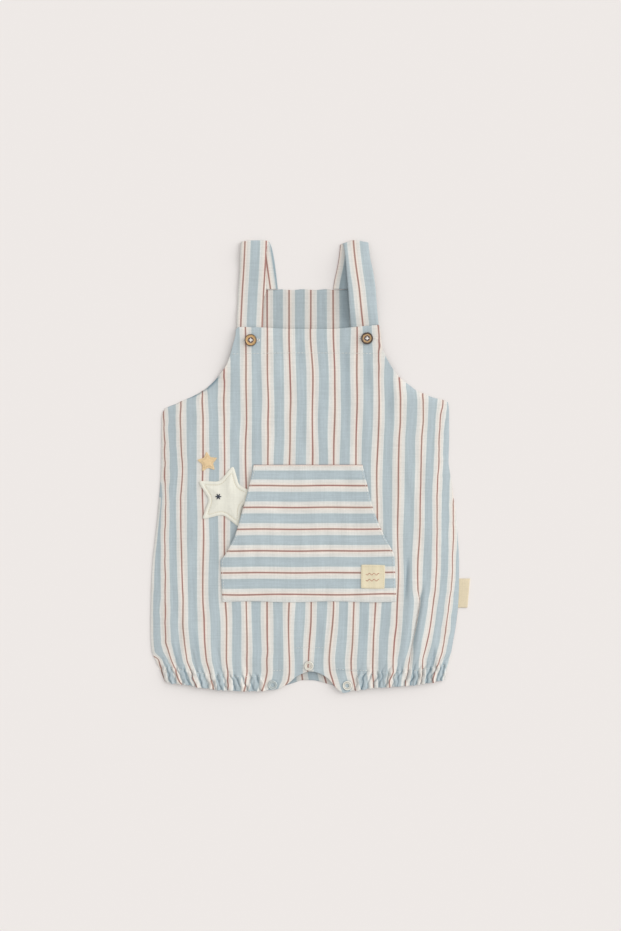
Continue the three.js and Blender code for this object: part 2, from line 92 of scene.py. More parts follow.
# Level, left edge and right edge of the front, from the hem's corners up to the bib
FRONT_SECTIONS = (
    (-215.4, -147.4, 132.3), (-204.4, -151.9, 134.5), (-196.0, -155.8, 137.0), (-184.4, -160.4, 139.3),
    (-174.4, -161.2, 141.0), (-159.4, -161.5, 143.6), (-134.4, -161.2, 146.2), (-114.4, -160.6, 146.8),
    (-94.4, -159.4, 146.8), (-74.4, -157.2, 145.6), (-54.4, -155.0, 144.2), (-34.4, -153.2, 141.6),
    (-14.4, -151.6, 139.0), (5.6, -150.8, 136.2), (25.6, -150.6, 136.8), (50.6, -150.0, 136.8),
    (58.2, -146.4, 136.6), (61.4, -136.2, 136.0), (64.6, -130.2, 135.3), (66.5, -126.0, 128.3),
    (68.6, -121.0, 120.3), (71.6, -115.2, 113.3), (75.4, -108.8, 104.3), (80.2, -102.2, 98.0),
    (85.6, -97.0, 90.8), (90.6, -93.0, 85.3), (97.6, -87.7, 80.3), (105.6, -83.6, 75.3),
    (120.6, -79.3, 69.3), (133.6, -76.3, 68.3), (141.0, -76.3, 66.4),
)
BACK_BIB_SECTIONS = (
    (61.4, -137.5, 136.0), (64.6, -131.5, 135.0), (68.2, -122.5, 120.0), (74.4, -111.0, 104.0),
    (85.1, -97.8, 89.8), (90.6, -92.8, 84.0), (105.6, -82.4, 73.5), (120.6, -77.8, 66.0),
    (135.6, -73.0, 60.0), (150.6, -65.7, 54.5), (165.6, -63.4, 50.5), (176.9, -62.7, 49.3),
)
# Points along an edge, x then y
BIB_TOP = (
    (-76.3, 136.4), (-73.0, 138.9), (-49.7, 138.4), (-21.0, 137.0), (18.0, 137.0), (38.3, 138.6),
    (66.4, 141.0),
)
BACK_TOP = (
    (-62.7, 176.5), (-52.0, 176.7), (-41.0, 176.0), (-31.0, 176.7), (-20.0, 175.9), (-9.0, 176.8),
    (3.0, 175.9), (14.0, 176.8), (25.0, 175.9), (36.0, 176.7), (49.3, 176.5),
)
LOWER_EDGE = (
    (-147.4, -215.4), (-124.2, -218.4), (-100.7, -222.2), (-64.9, -224.2), (-38.3, -223.4), (-25.7, -218.4),
    (-15.4, -210.1), (-1.8, -205.0), (6.0, -206.6), (15.9, -212.3), (24.6, -222.2), (32.0, -226.6),
    (41.0, -224.2), (62.8, -221.1), (103.6, -218.1), (132.3, -213.2),
)
BACK_LOWER = (
    (-147.4, -215.0), (-100.7, -221.6), (-64.9, -223.6), (-38.3, -222.4), (-20.8, -217.4), (-8.7, -214.0),
    (0.3, -214.0), (10.8, -216.3), (24.6, -221.0), (32.0, -225.4), (62.8, -220.5), (103.6, -217.5),
    (132.3, -212.8),
)
POCKET_SECTIONS = (
    (-135.4, -89.6, 83.9), (-115.0, -90.6, 83.0), (-94.7, -91.5, 82.2), (-89.6, -87.6, 81.8),
    (-78.0, -81.0, 76.3), (-67.3, -76.2, 70.6), (-53.0, -72.0, 64.4), (-39.2, -68.0, 59.7),
    (-18.0, -62.4, 54.6), (1.2, -58.3, 50.1),
)
POCKET_OPENING = (-94.7, 1.2)

# The stripe's repeats at the places that STRIPE_ROWS gives; its own columns replace the two at the tuck
STRIPE_COUNTS = (-8.0, -7.0, -6.0, -5.0, -3.0, -2.0, -1.0, 0.0, 1.0, 2.0, 3.0, 4.0, 5.0, 5.0, 6.0, 7.0, 8.0)
TUCK_COLUMN = 12
TUCK_HALF_GAP = 0.35
# Level, then the red lines m8 m7 m6 m5 m3 m2 m1 c0 p1 p2 p3 p4, the tuck's place, its repeats on the
# left and on the right side, then the red lines p6 p7 p8
STRIPE_ROWS = (
    (-226.0, -141.0, -129.5, -114.0, -98.6, -68.4, -50.8, -29.0, -2.0, 24.0, 44.8, 61.3,
     77.0, 92.6, 4.98, 5.02, 108.6, 121.4, 134.0),
    (-219.4, -142.8, -131.0, -115.7, -99.4, -67.2, -48.4, -26.6, -2.0, 21.4, 43.0, 61.3,
     77.1, 92.9, 4.98, 5.02, 109.0, 121.6, 134.0),
    (-214.4, -148.0, -133.5, -118.2, -100.9, -66.6, -46.8, -24.0, -3.0, 20.0, 41.8, 61.3,
     77.3, 93.3, 4.98, 5.02, 109.2, 121.5, 134.0),
    (-204.4, -149.8, -137.0, -121.4, -102.8, -65.4, -45.2, -22.9, -4.0, 17.5, 39.4, 60.7,
     80.8, 95.0, 4.98, 5.02, 110.6, 124.0, 136.5),
    (-194.4, -153.8, -140.8, -124.8, -105.4, -65.4, -45.4, -23.0, -3.2, 17.0, 38.8, 60.6,
     80.9, 96.4, 4.94, 5.02, 110.7, 127.5, 140.5),
    (-184.4, -163.8, -144.2, -126.0, -106.4, -65.2, -44.5, -23.4, -2.8, 17.7, 39.4, 60.7,
     81.8, 98.8, 4.87, 5.15, 113.0, 130.4, 144.0),
    (-174.4, -164.5, -146.8, -127.2, -107.0, -65.2, -44.7, -23.4, -2.4, 18.7, 40.1, 60.9,
     82.6, 100.9, 4.82, 5.28, 115.2, 132.6, 147.0),
    (-154.4, -164.5, -147.1, -129.4, -107.3, -65.4, -44.8, -23.2, -1.4, 20.2, 41.2, 62.6,
     84.6, 105.1, 4.93, 5.33, 118.6, 134.6, 150.0),
    (-134.4, -164.0, -147.2, -129.4, -108.7, -65.8, -44.9, -22.8, -1.1, 21.0, 42.2, 63.8,
     84.7, 107.9, 4.965, 5.30, 121.3, 137.2, 151.5),
    (-122.0, -162.5, -147.2, -129.8, -109.0, -65.9, -44.6, -22.6, -1.0, 20.8, 42.4, 64.0,
     85.0, 106.2, 4.98, 5.02, 123.0, 139.0, 152.0),
    (-94.4, -163.0, -147.2, -130.1, -109.2, -66.0, -44.4, -22.6, -0.8, 20.9, 42.5, 64.2,
     85.4, 106.4, 4.98, 5.02, 124.8, 140.5, 153.0),
    (-64.4, -162.5, -147.1, -131.0, -109.2, -66.0, -44.3, -22.4, -0.6, 21.1, 42.8, 64.4,
     85.9, 107.5, 4.98, 5.02, 124.8, 140.7, 155.5),
    (-34.4, -162.8, -146.7, -131.2, -109.2, -66.0, -44.2, -22.3, -0.5, 21.2, 42.9, 64.6,
     86.2, 108.3, 4.98, 5.02, 124.8, 141.2, 157.5),
    (-4.4, -164.5, -147.2, -129.4, -109.2, -66.4, -44.2, -22.2, -0.3, 21.6, 43.4, 64.8,
     86.5, 108.8, 4.98, 5.02, 125.9, 142.6, 159.0),
    (25.6, -165.0, -148.2, -131.1, -109.3, -66.2, -43.8, -22.2, -0.1, 22.0, 44.4, 65.6,
     86.9, 109.0, 4.98, 5.02, 126.9, 144.0, 160.0),
    (45.6, -165.5, -148.0, -131.7, -109.3, -65.6, -44.3, -22.1, 0.4, 22.4, 44.6, 66.4,
     88.4, 110.4, 4.98, 5.02, 128.3, 146.5, 163.0),
    (65.6, -166.0, -148.4, -131.5, -110.3, -65.7, -44.0, -21.6, 0.8, 22.8, 44.7, 66.7,
     88.8, 110.8, 4.98, 5.02, 130.6, 150.0, 168.0),
    (90.6, -175.0, -153.0, -131.5, -109.5, -66.0, -44.5, -22.1, 0.5, 22.8, 44.7, 66.5,
     87.3, 109.5, 4.98, 5.02, 131.0, 152.0, 172.0),
    (133.6, -177.0, -155.0, -132.9, -110.8, -66.7, -45.0, -23.1, -1.4, 21.2, 44.3, 66.8,
     88.8, 110.9, 4.98, 5.02, 132.9, 155.0, 177.0),
    (176.9, -177.0, -155.0, -132.9, -110.8, -67.0, -45.1, -23.1, -1.3, 20.9, 43.4, 65.0,
     87.0, 109.0, 4.98, 5.02, 131.0, 153.0, 175.0),
)


def pchip(xs: Array, ys: Array, at: Array) -> Array:
    """Read a smooth curve that keeps the table's rises and falls, without overshoot.

    Args:
        xs: Places of the table's rows, rising.
        ys: Values of the rows; more than one column may be given.
        at: Places to read.

    Returns:
        The values at those places, held at the table's ends.
    """
    xs = np.asarray(xs, dtype=float)
    ys = np.asarray(ys, dtype=float)
    at = np.clip(at, xs[0], xs[-1])
    width = np.diff(xs)
    flat = ys.ndim == 1
    table = ys[:, None] if flat else ys
    slope = np.diff(table, axis=0) / width[:, None]
    tangent = np.vstack([slope[:1], slope])
    before, after = slope[:-1], slope[1:]
    same = before * after > 0
    with np.errstate(divide="ignore", invalid="ignore"):
        mean = 2 * before * after / (before + after)
    tangent[1:-1] = np.where(same, mean, 0.0)
    k = np.clip(np.searchsorted(xs, at, side="right") - 1, 0, len(width) - 1)
    t = ((at - xs[k]) / width[k])[..., None]
    h = width[k][..., None]
    value = (
        table[k] * (2 * t**3 - 3 * t**2 + 1)
        + table[k + 1] * (3 * t**2 - 2 * t**3)
        + tangent[k] * h * (t**3 - 2 * t**2 + t)
        + tangent[k + 1] * h * (t**3 - t**2)
    )
    return value[..., 0] if flat else value


def smooth_step(low: float, high: float, value: Array) -> Array:
    """Rise softly from 0 at low to 1 at high."""
    share = np.clip((value - low) / (high - low), 0.0, 1.0)
    return share * share * (3 - 2 * share)


def between(start: float, full: float, fall: float, end: float, value: Array) -> Array:
    """Rise softly from 0 at start to 1 at full, and fall softly from 1 at fall to 0 at end."""
    return smooth_step(start, full, value) * (1 - smooth_step(fall, end, value))


def bell(away: Array, width: float | Array) -> Array:
    """Fall softly from 1 on a line to nothing about two widths away from it."""
    return np.exp(-((away / width) ** 2))


def steps(*stops: tuple[float, float]) -> Array:
    """Make rising levels from a start and (end, step) pairs.

    Args:
        stops: The start with a step of 0, then each stretch's end and its step.

    Returns:
        The levels, both ends with them.
    """
    levels = [np.array([stops[0][0]])]
    for end, step in stops[1:]:
        start = levels[-1][-1]
        count = max(1, math.ceil((end - start) / step))
        levels.append(np.linspace(start, end, count + 1)[1:])
    return np.concatenate(levels)


class Outline:
    """Smooth left and right edges of a panel, read at any level."""

    def __init__(self, sections: Rows) -> None:
        """Keep the sections as columns."""
        table = np.array(sections)
        self.levels = table[:, 0]
        self.sides = table[:, 1:]

    def at(self, y: Array) -> tuple[Array, Array]:
        """Give the left and the right edge at some levels."""
        sides = pchip(self.levels, self.sides, y)
        return sides[..., 0], sides[..., 1]

    def across(self, x: Array, y: Array) -> Array:
        """Give the share of the way across, 0 at the left edge and 1 at the right."""
        left, right = self.at(y)
        return np.clip((x - left) / (right - left), 0.0, 1.0)


FRONT = Outline(FRONT_SECTIONS)
BACK = Outline(tuple(row for row in FRONT_SECTIONS if row[0] < 60.0) + BACK_BIB_SECTIONS)
POCKET = Outline(POCKET_SECTIONS)


def edge_curve(points: Rows) -> Curve:
    """Turn points along an edge into a smooth curve of y over x."""
    table = np.array(points)
    return lambda x: pchip(table[:, 0], table[:, 1], x)


lower_edge = edge_curve(LOWER_EDGE)


class StripeMap:
    """Where the woven stripes run over the body, in repeats counted from the middle red line."""

    def __init__(self) -> None:
        """Split the rows into the lines' places and their counts."""
        table = np.array(STRIPE_ROWS)
        self.levels = table[:, 0]
        tuck, places = TUCK_COLUMN, table[:, 1:]
        sides = places[:, tuck:tuck + 1] + [-TUCK_HALF_GAP, TUCK_HALF_GAP]
        self.places = np.hstack([places[:, :tuck], sides, places[:, tuck + 3:]])
        self.counts = np.tile(STRIPE_COUNTS, (len(table), 1))
        self.counts[:, tuck:tuck + 2] = places[:, tuck + 1:tuck + 3]

    def repeats(self, x: Array, y: Array) -> Array:
        """Give the count of repeats at each place."""
        knots = pchip(self.levels, self.places, y)
        counts = pchip(self.levels, self.counts, y)
        value = counts[..., 0] + np.minimum(x - knots[..., 0], 0.0) / STRIPE_REPEAT
        for k in range(knots.shape[-1] - 1):
            width = knots[..., k + 1] - knots[..., k]
            share = np.clip((x - knots[..., k]) / width, 0.0, 1.0)
            value = value + share * (counts[..., k + 1] - counts[..., k])
        return value + np.maximum(x - knots[..., -1], 0.0) / STRIPE_REPEAT


STRIPES = StripeMap()


@dataclass(frozen=True)
class Fold:
    """A soft trough or ridge along a line, with its own half width on each side."""

    x: float
    y: float
    to_x: float
    to_y: float
    left: float
    right: float
    height: float

    def relief(self, x: Array, y: Array) -> Array:
        """Give the fold's height at each place."""
        along = np.array([self.to_x - self.x, self.to_y - self.y])
        length = math.hypot(*along)
        normal = np.array([-along[1], along[0]]) / length
        if normal[0] < 0:
            normal = -normal
        share = ((x - self.x) * along[0] + (y - self.y) * along[1]) / length**2
        away = (x - self.x) * normal[0] + (y - self.y) * normal[1]
        width = np.where(away < 0, self.left, self.right)
        ends = np.clip(np.sin(math.pi * np.clip(share, 0.0, 1.0)), 0.0, 1.0) ** 0.6
        return self.height * ends * bell(away, width)


def folds(*rows: tuple[float, ...]) -> tuple[Fold, ...]:
    """Make folds from rows: x, y, end x, end y, half widths to the left and to the right, height."""
    return tuple(Fold(*row) for row in rows)


FRONT_FOLDS = folds(
    (110.2, -118.0, 96.0, -200.0, 0.9, 2.6, -1.5), (115.6, -112.0, 101.6, -204.0, 3.6, 7.0, 2.6),
    (104.0, -112.0, 89.5, -200.0, 5.5, 2.6, 1.5), (95.2, -94.0, 93.0, -133.0, 0.8, 2.4, -1.3),
    (98.8, -90.0, 97.0, -138.0, 2.6, 5.0, 1.0), (-132.7, -150.0, -134.5, -196.0, 2.0, 4.0, -0.9),
    (-128.0, -146.0, -128.5, -200.0, 3.0, 6.0, 0.7), (-120.0, 44.0, -127.0, -120.0, 10.0, 13.0, 0.5),
    (-139.5, 44.0, -139.0, -150.0, 3.5, 5.0, -0.7), (119.0, 48.0, 124.0, -96.0, 10.0, 9.0, 0.5),
    (132.0, 20.0, 134.0, -120.0, 4.0, 3.5, -0.6), (-104.0, 68.0, -84.0, 14.0, 6.0, 9.0, 0.4),
    (-92.0, 84.0, -70.0, 26.0, 4.0, 6.0, -0.35), (96.0, 66.0, 74.0, 12.0, 9.0, 6.0, 0.4),
    (82.0, 84.0, 62.0, 30.0, 6.0, 4.0, -0.35), (122.2, -182.0, 119.4, -208.0, 0.8, 2.2, -1.3),
    (125.4, -176.0, 122.4, -210.0, 2.2, 5.0, 1.1), (130.5, -140.0, 124.0, -186.0, 1.6, 3.6, -0.8),
    (-96.0, -178.0, -88.0, -214.0, 4.0, 1.4, -0.7), (-121.0, -182.0, -112.0, -216.0, 3.0, 1.2, -1.0),
    (-151.0, -166.0, -139.0, -214.0, 3.0, 1.4, -1.0), (-70.0, -186.0, -62.0, -214.0, 4.0, 1.6, -0.5),
    (66.0, -190.0, 60.0, -214.0, 1.6, 4.0, -0.6), (-22.0, -150.0, -24.0, -200.0, 6.0, 6.0, 0.35),
    (24.0, -150.0, 22.0, -206.0, 6.0, 6.0, 0.35), (-47.0, 118.0, -52.0, 40.0, 7.0, 7.0, 0.3),
    (44.0, 120.0, 50.0, 40.0, 7.0, 7.0, 0.3),
)
BACK_FOLDS = folds(
    (-60.0, 150.0, -40.0, 60.0, 8.0, 8.0, 0.35), (50.0, 150.0, 34.0, 60.0, 8.0, 8.0, 0.35),
    (-110.0, 20.0, -118.0, -130.0, 9.0, 9.0, 0.45), (104.0, 30.0, 112.0, -120.0, 9.0, 9.0, 0.45),
    (-40.0, -40.0, -52.0, -170.0, 6.0, 10.0, 0.4), (30.0, -60.0, 40.0, -180.0, 8.0, 6.0, 0.4),
)


class Ripples:
    """Very low, uneven waves of cloth that has been smoothed by hand; the same on each run."""

    def __init__(self, seed: int, count: int, height: float, span: tuple[float, float]) -> None:
        """Draw the waves' directions, lengths and phases from a seeded generator.

        Args:
            seed: Seed of the generator.
            count: Number of waves.
            height: Field of all the waves together.
            span: Shortest and longest wavelength.
        """
        draw = np.random.default_rng(seed)
        angle = draw.normal(0.0, 0.55, count)
        number = 2 * math.pi / draw.uniform(*span, count)
        self.kx = number * np.cos(angle)
        self.ky = number * np.sin(angle)
        self.phase = draw.uniform(0.0, 2 * math.pi, count)
        self.height = height / math.sqrt(count)

    def relief(self, x: Array, y: Array) -> Array:
        """Give the waves' height at each place."""
        total = np.zeros_like(x)
        for kx, ky, phase in zip(self.kx, self.ky, self.phase):
            total += np.sin(kx * x + ky * y + phase)
        return self.height * total


class Gathers:
    """Small uneven gathers of one elastic leg hem, leaning towards the side seam as they rise."""

    def __init__(self, slits: tuple[float, ...], lean: float, seed: int) -> None:
        """Keep the slits between the gathers and draw each gather's height and reach.

        Args:
            slits: Places of the dark slits along the hem.
            lean: Sideways run for each millimetre up from the hem.
            seed: Seed of the generator that makes them uneven.
        """
        draw = np.random.default_rng(seed)
        self.slits = np.array(slits)
        self.lean = lean
        self.height = draw.uniform(1.5, 2.6, len(slits))
        self.reach = draw.uniform(18.0, 34.0, len(slits))
        self.skew = draw.uniform(0.75, 1.3, len(slits))
        # How dark the painted shade in each slit is
        self.depth = draw.uniform(0.6, 1.0, len(slits))
        self.crumple = Ripples(seed + 50, 16, 0.5, (3.6, 9.0))

    def place(self, x: Array, y: Array) -> tuple[Array, Array, Array]:
        """Give each place's gather, its share of the way across it, and how strong the gather is there."""
        above = np.clip(y - lower_edge(x), 0.0, 60.0)
        sway = 0.9 * np.sin(0.33 * above + 0.21 * x) + 0.5 * np.sin(0.71 * above - 0.13 * x)
        foot = x + self.lean * above + sway * np.clip(above / 4.0, 0.0, 1.0)
        count = np.interp(foot, self.slits, np.arange(len(self.slits)))
        cell = np.clip(count.astype(int), 0, len(self.slits) - 2)
        share = count - cell
        fade = (1.0 - np.clip((above - HEM_DEPTH) / (self.reach[cell] - HEM_DEPTH), 0.0, 1.0)) ** 1.6
        fade = fade * (1.0 - 0.5 * smooth_step(HEM_DEPTH - 1.0, HEM_DEPTH + 1.5, above))
        first, last = self.slits[0], self.slits[-1]
        ends = smooth_step(first - 1.0, first + 2.0, foot) * smooth_step(-last - 1.0, 2.0 - last, -foot)
        return cell, share, fade * ends

    def relief(self, x: Array, y: Array) -> Array:
        """Give the gathers' height at each place, sharp in the slits and round between them."""
        cell, share, strength = self.place(x, y)
        wave = np.abs(np.sin(math.pi * share ** self.skew[cell])) ** 0.5
        near = np.clip(1.6 * strength, 0.0, 1.0) * (1 - smooth_step(12.0, 22.0, y - lower_edge(x)))
        return self.height[cell] * wave * strength + self.crumple.relief(x, y * 0.6) * near

    def painted_shade(self, x: Array, y: Array) -> Array:
        """Give the painted shade in and beside each slit, from 0 to 1."""
        cell, share, strength = self.place(x, y)
        width = self.slits[cell + 1] - self.slits[cell]
        away = np.minimum(share * 0.7, 1 - share) * width
        line = bell(away, 0.7) * np.clip(1.5 * strength, 0.0, 1.0)
        return line * self.depth[cell + (share > 0.5)]

    def shift(self, x: Array, y: Array) -> tuple[Array, Array]:
        """Give how far each place lies from its gather's middle, and how strongly it is gathered."""
        cell, share, strength = self.place(x, y)
        width = self.slits[cell + 1] - self.slits[cell]
        return (share - 0.5) * width, strength


GATHERS = (
    Gathers(
        (-147.0, -141.5, -135.9, -129.4, -122.8, -117.0, -110.0, -103.6, -96.8, -90.4, -84.8, -77.0,
         -71.6, -64.6, -58.0, -51.6, -45.8),
        0.33,
        11,
    ),
    Gathers(
        (42.0, 49.0, 55.4, 61.6, 66.6, 73.2, 79.8, 84.8, 92.2, 98.0, 103.6, 108.2, 114.0, 119.2,
         124.2, 128.4, 132.6),
        -0.26,
        23,
    ),
)
# Painted shade along folds and wrinkles of the front, darkening the cloth; the last number is how strongly,
# from 0 to 1
FRONT_SHADES = folds(
    (110.4, -118.0, 96.2, -198.0, 0.6, 2.5, 0.62), (95.4, -90.0, 93.2, -134.0, 0.6, 1.7, 0.5),
    (122.2, -180.0, 119.4, -208.0, 0.7, 1.9, 0.5), (34.6, 124.0, 35.4, 66.0, 3.4, 3.4, 0.2),
    (56.0, 110.0, 57.0, 78.0, 2.6, 2.6, 0.16), (80.0, 96.0, 79.0, 44.0, 3.4, 3.4, 0.2),
    (-10.0, 130.0, -11.6, 96.0, 2.2, 2.2, 0.13), (-56.4, -130.0, -55.0, -200.0, 2.5, 4.0, 0.12),
    (9.6, -150.0, 7.6, -188.0, 3.5, 3.5, 0.14), (51.6, -140.0, 49.6, -200.0, 3.0, 3.0, 0.13),
    (-152.0, 30.0, -153.0, -130.0, 2.6, 2.6, 0.16), (-119.0, -160.0, -112.0, -204.0, 1.6, 2.6, 0.22),
    (-140.0, -176.0, -131.0, -206.0, 1.0, 2.2, 0.3), (16.0, -203.6, 54.0, -204.4, 0.8, 0.8, 0.32),
)


def front_painted_shade(x: Array, y: Array) -> Array:
    """Give the front's painted shade, from 0 to 1: in the gathers' slits, a painted shadow along the left
    armhole's edge, rings round the snaps, and along folds and wrinkles.
    """
    slits = sum(part.painted_shade(x, y) for part in GATHERS)
    # Painted shadow along the left armhole's edge between the layers, and painted shade round the snaps
    armhole = 0.95 * between(66.0, 71.0, 87.0, 92.0, y) * bell(x - FRONT.at(y)[0], 2.3)
    rings = sum(bell(np.hypot(x - snap[1], y - snap[2]) - 5.0, 0.7) for snap in SNAPS)
    folds = sum(shade.relief(x, y) for shade in FRONT_SHADES)
    return np.clip(slits + armhole + 0.4 * rings + folds, 0.0, 1.0)


def back_painted_shade(x: Array, y: Array) -> Array:
    """Give the back's painted shade, from 0 to 1: the lifted right strap's painted shadow on the back bib,
    and shade in the crotch.
    """
    # Painted shadow of the lifted right strap on the back bib, and painted shade in the crotch
    strap = 0.38 * between(27.0, 30.5, 50.0, 60.0, x) * smooth_step(125.0, 134.0, y)
    crotch = 0.22 * (1 - smooth_step(-205.0, -198.0, y)) * (1 - smooth_step(22.0, 36.0, np.abs(x)))
    return strap + crotch


FRONT_RIPPLES = Ripples(5, 26, 0.32, (14.0, 60.0))
BACK_RIPPLES = Ripples(9, 20, 0.12, (20.0, 60.0))


def hem_line(x: Array, y: Array) -> Array:
    """Give the groove that the elastic casing's stitching pulls into the cloth."""
    above = y - lower_edge(x)
    on_leg = smooth_step(44.0, 50.0, np.abs(x + 3.0))
    return -HEM_GROOVE * on_leg * bell(above - HEM_DEPTH, 0.9)


def edge_press(outline: Outline, x: Array, y: Array) -> Array:
    """Give how near each place is to a panel's side edges, where the cloth lies flattest."""
    return np.abs(2 * outline.across(x, y) - 1) ** 14


def front_top(x: Array, y: Array) -> Array:
    """Give the height of the front's outer side: on the back at the seams, over the straps at the bib."""
    x, y = np.asarray(x, dtype=float), np.asarray(y, dtype=float)
    side = np.abs(2 * FRONT.across(x, y) - 1)
    inside = 1 - side**6
    body = (BODY_RISE + sum(fold.relief(x, y) for fold in FRONT_FOLDS)) * inside
    body = body * (0.35 + 0.65 * smooth_step(-214.0, -190.0, y))
    sag = between(-46.0, -30.0, 26.0, 42.0, x)
    bib = BIB_RISE - BIB_SAG * sag
    up = smooth_step(78.0, 104.0, y)
    relief = sum(part.relief(x, y) for part in GATHERS) + hem_line(x, y)
    relief = relief + FRONT_RIPPLES.relief(x, y) * inside
    edge = EDGE_DROP * edge_press(FRONT, x, y) * (1 - up)
    return CLOTH_WALL + SEAM_GAP + body * (1 - up) + bib * up + relief + CLOTH_WALL - edge


def pocket_gape(x: Array, y: Array) -> Array:
    """Give how far the pocket stands off the front at its two slanted openings."""
    low, high = POCKET_OPENING
    share = np.clip((y - low) / (high - low), 0.0, 1.0)
    gape = np.sin(math.pi * share) ** 0.7
    left, right = POCKET.at(y)
    lift = POCKET_GAPE[0] * gape * (1 - smooth_step(12.0, 44.0, x - left))
    return lift + POCKET_GAPE[1] * gape * (1 - smooth_step(2.0, 30.0, right - x))


def pocket_top(x: Array, y: Array) -> Array:
    """Give the height of the pocket's outer side, pressed down along its sewn edges."""
    x, y = np.asarray(x, dtype=float), np.asarray(y, dtype=float)
    low, high = POCKET_SECTIONS[0][0], POCKET_SECTIONS[-1][0]
    left, right = POCKET.at(y)
    sewn_side = np.minimum(x - left, right - x) + 40.0 * smooth_step(-96.0, -90.0, y)
    from_sewn = np.minimum(np.minimum(y - low, high - y), sewn_side)
    press = -0.35 * bell(from_sewn, 2.2)
    groove = -0.22 * bell(from_sewn - 3.2, 0.7)
    wave = 0.25 * np.sin(x / 9.0 + 1.0) * (1 - smooth_step(-132.0, -112.0, y))
    return front_top(x, y) + SEAM_GAP + pocket_gape(x, y) + CLOTH_WALL + press + groove + wave


def front_at(x: float, y: float) -> float:
    """Give the height of the front's outer side at one place."""
    return float(front_top(np.array([x]), np.array([y]))[0])


def metres(points: Array) -> Array:
    """Turn points in millimetres into metres."""
    return np.asarray(points, dtype=float) * MM


def mesh_object(
    name: str, points: Array, faces: list, uv: Array | None = None, painted_shade: Array | None = None
) -> Piece:
    """Make a smooth mesh object from points in millimetres.

    Args:
        name: The piece's name.
        points: The vertices.
        faces: The faces, as rows of vertex numbers.
        uv: Cloth coordinates of each vertex in millimetres, across and along the stripes.
        painted_shade: How strongly painted shade darkens each vertex, from 0 to 1.

    Returns:
        The new object, at the origin.
    """
    mesh = bpy.data.meshes.new(name)
    mesh.from_pydata(metres(points).tolist(), [], faces)
    if uv is not None:
        corners = np.empty(len(mesh.loops), dtype=np.int32)
        mesh.loops.foreach_get("vertex_index", corners)
        layer = mesh.uv_layers.new(name=UV_NAME)
        layer.data.foreach_set("uv", metres(uv)[corners].ravel())
    if painted_shade is not None:
        mesh.attributes.new(PAINTED_SHADE_NAME, "FLOAT", "POINT").data.foreach_set("value", painted_shade)
    mesh.shade_smooth()
    mesh.validate()
    made = bpy.data.objects.new(name, mesh)
    bpy.context.scene.collection.objects.link(made)
    return made


def grid_faces(rows: int, columns: int, first: int = 0, flip: bool = False) -> list:
    """List the quads of a grid whose rows run up and whose columns run to the right."""
    index = first + np.arange(rows * columns).reshape(rows, columns)
    corners = [index[:-1, :-1], index[:-1, 1:], index[1:, 1:], index[1:, :-1]]
    if flip:
        corners.reverse()
    return np.stack(corners, axis=-1).reshape(-1, 4).tolist()


def boundary(rows: int, columns: int) -> Array:
    """List a grid's outer points in order, anticlockwise from above."""
    index = np.arange(rows * columns).reshape(rows, columns)
    return np.concatenate([index[0, :-1], index[:-1, -1], index[-1, :0:-1], index[:0:-1, 0]])


def band(first: Array, second: Array) -> list:
    """List the quads between two closed rings of as many points."""
    return np.stack([first, second, np.roll(second, -1), np.roll(first, -1)], axis=-1).tolist()


def outward(loop: Array) -> Array:
    """Give the outward direction in the plane at each point of an anticlockwise loop."""
    run = np.roll(loop[:, :2], -1, axis=0) - np.roll(loop[:, :2], 1, axis=0)
    away = np.column_stack([run[:, 1], -run[:, 0]])
    return away / np.maximum(np.linalg.norm(away, axis=1, keepdims=True), 1e-9)


def cloth_sheet(
    name: str,
    plan: Array,
    height: Field,
    threads: Field,
    roll: Rows = EDGE_ROLL,
    painted_shading: Field | None = None,
) -> Piece:
    """Make a thin sheet over a plan, with its edges rolled down and turned under.

    Args:
        name: The piece's name.
        plan: Rows by columns of flat points.
        height: Field of the outer side at each place.
        threads: Cloth coordinates at each place, in millimetres.
        roll: Out and down from the edge for each ring of the turned edge.
        painted_shading: How strongly painted shade darkens each place.

    Returns:
        The sheet's object.
    """
    rows, columns = plan.shape[:2]
    flat = plan.reshape(-1, 2)
    top = np.column_stack([flat, height(flat[:, 0], flat[:, 1])])
    uv = threads(flat[:, 0], flat[:, 1])
    ring = boundary(rows, columns)
    away = outward(top[ring])
    points, coordinates, faces = [top], [uv], grid_faces(rows, columns)
    count = len(ring)
    last = ring
    first = len(top)
    for out, down in roll:
        edge = top[ring].copy()
        edge[:, :2] += away * out
        edge[:, 2] -= down
        points.append(edge)
        coordinates.append(uv[ring])
        here = first + np.arange(count)
        faces += band(last, here)
        last, first = here, first + count
    every = np.vstack(points)
    painted_shade = None if painted_shading is None else painted_shading(every[:, 0], every[:, 1])
    return mesh_object(name, every, faces, np.vstack(coordinates), painted_shade)


def cloth_wall(
    name: str, plan: Array, under: Field, over: Field, threads: Field, painted_shading: Field
) -> Piece:
    """Make a closed wall between two heights over a plan, with a rounded edge."""
    rows, columns = plan.shape[:2]
    flat = plan.reshape(-1, 2)
    x, y = flat[:, 0], flat[:, 1]
    top = np.column_stack([flat, over(x, y)])
    low = np.column_stack([flat, under(x, y)])
    ring = boundary(rows, columns)
    middle = (top[ring] + low[ring]) / 2
    middle[:, :2] += outward(top[ring]) * 0.25
    count, size = len(ring), len(top)
    faces = grid_faces(rows, columns) + grid_faces(rows, columns, size, flip=True)
    edge = 2 * size + np.arange(count)
    for upper, lower in ((ring, edge), (edge, ring + size)):
        faces += band(upper, lower)
    uv = threads(x, y)
    every = np.vstack([top, low, middle])
    painted_shade = painted_shading(every[:, 0], every[:, 1])
    return mesh_object(name, every, faces, np.vstack([uv, uv, uv[ring]]), painted_shade)


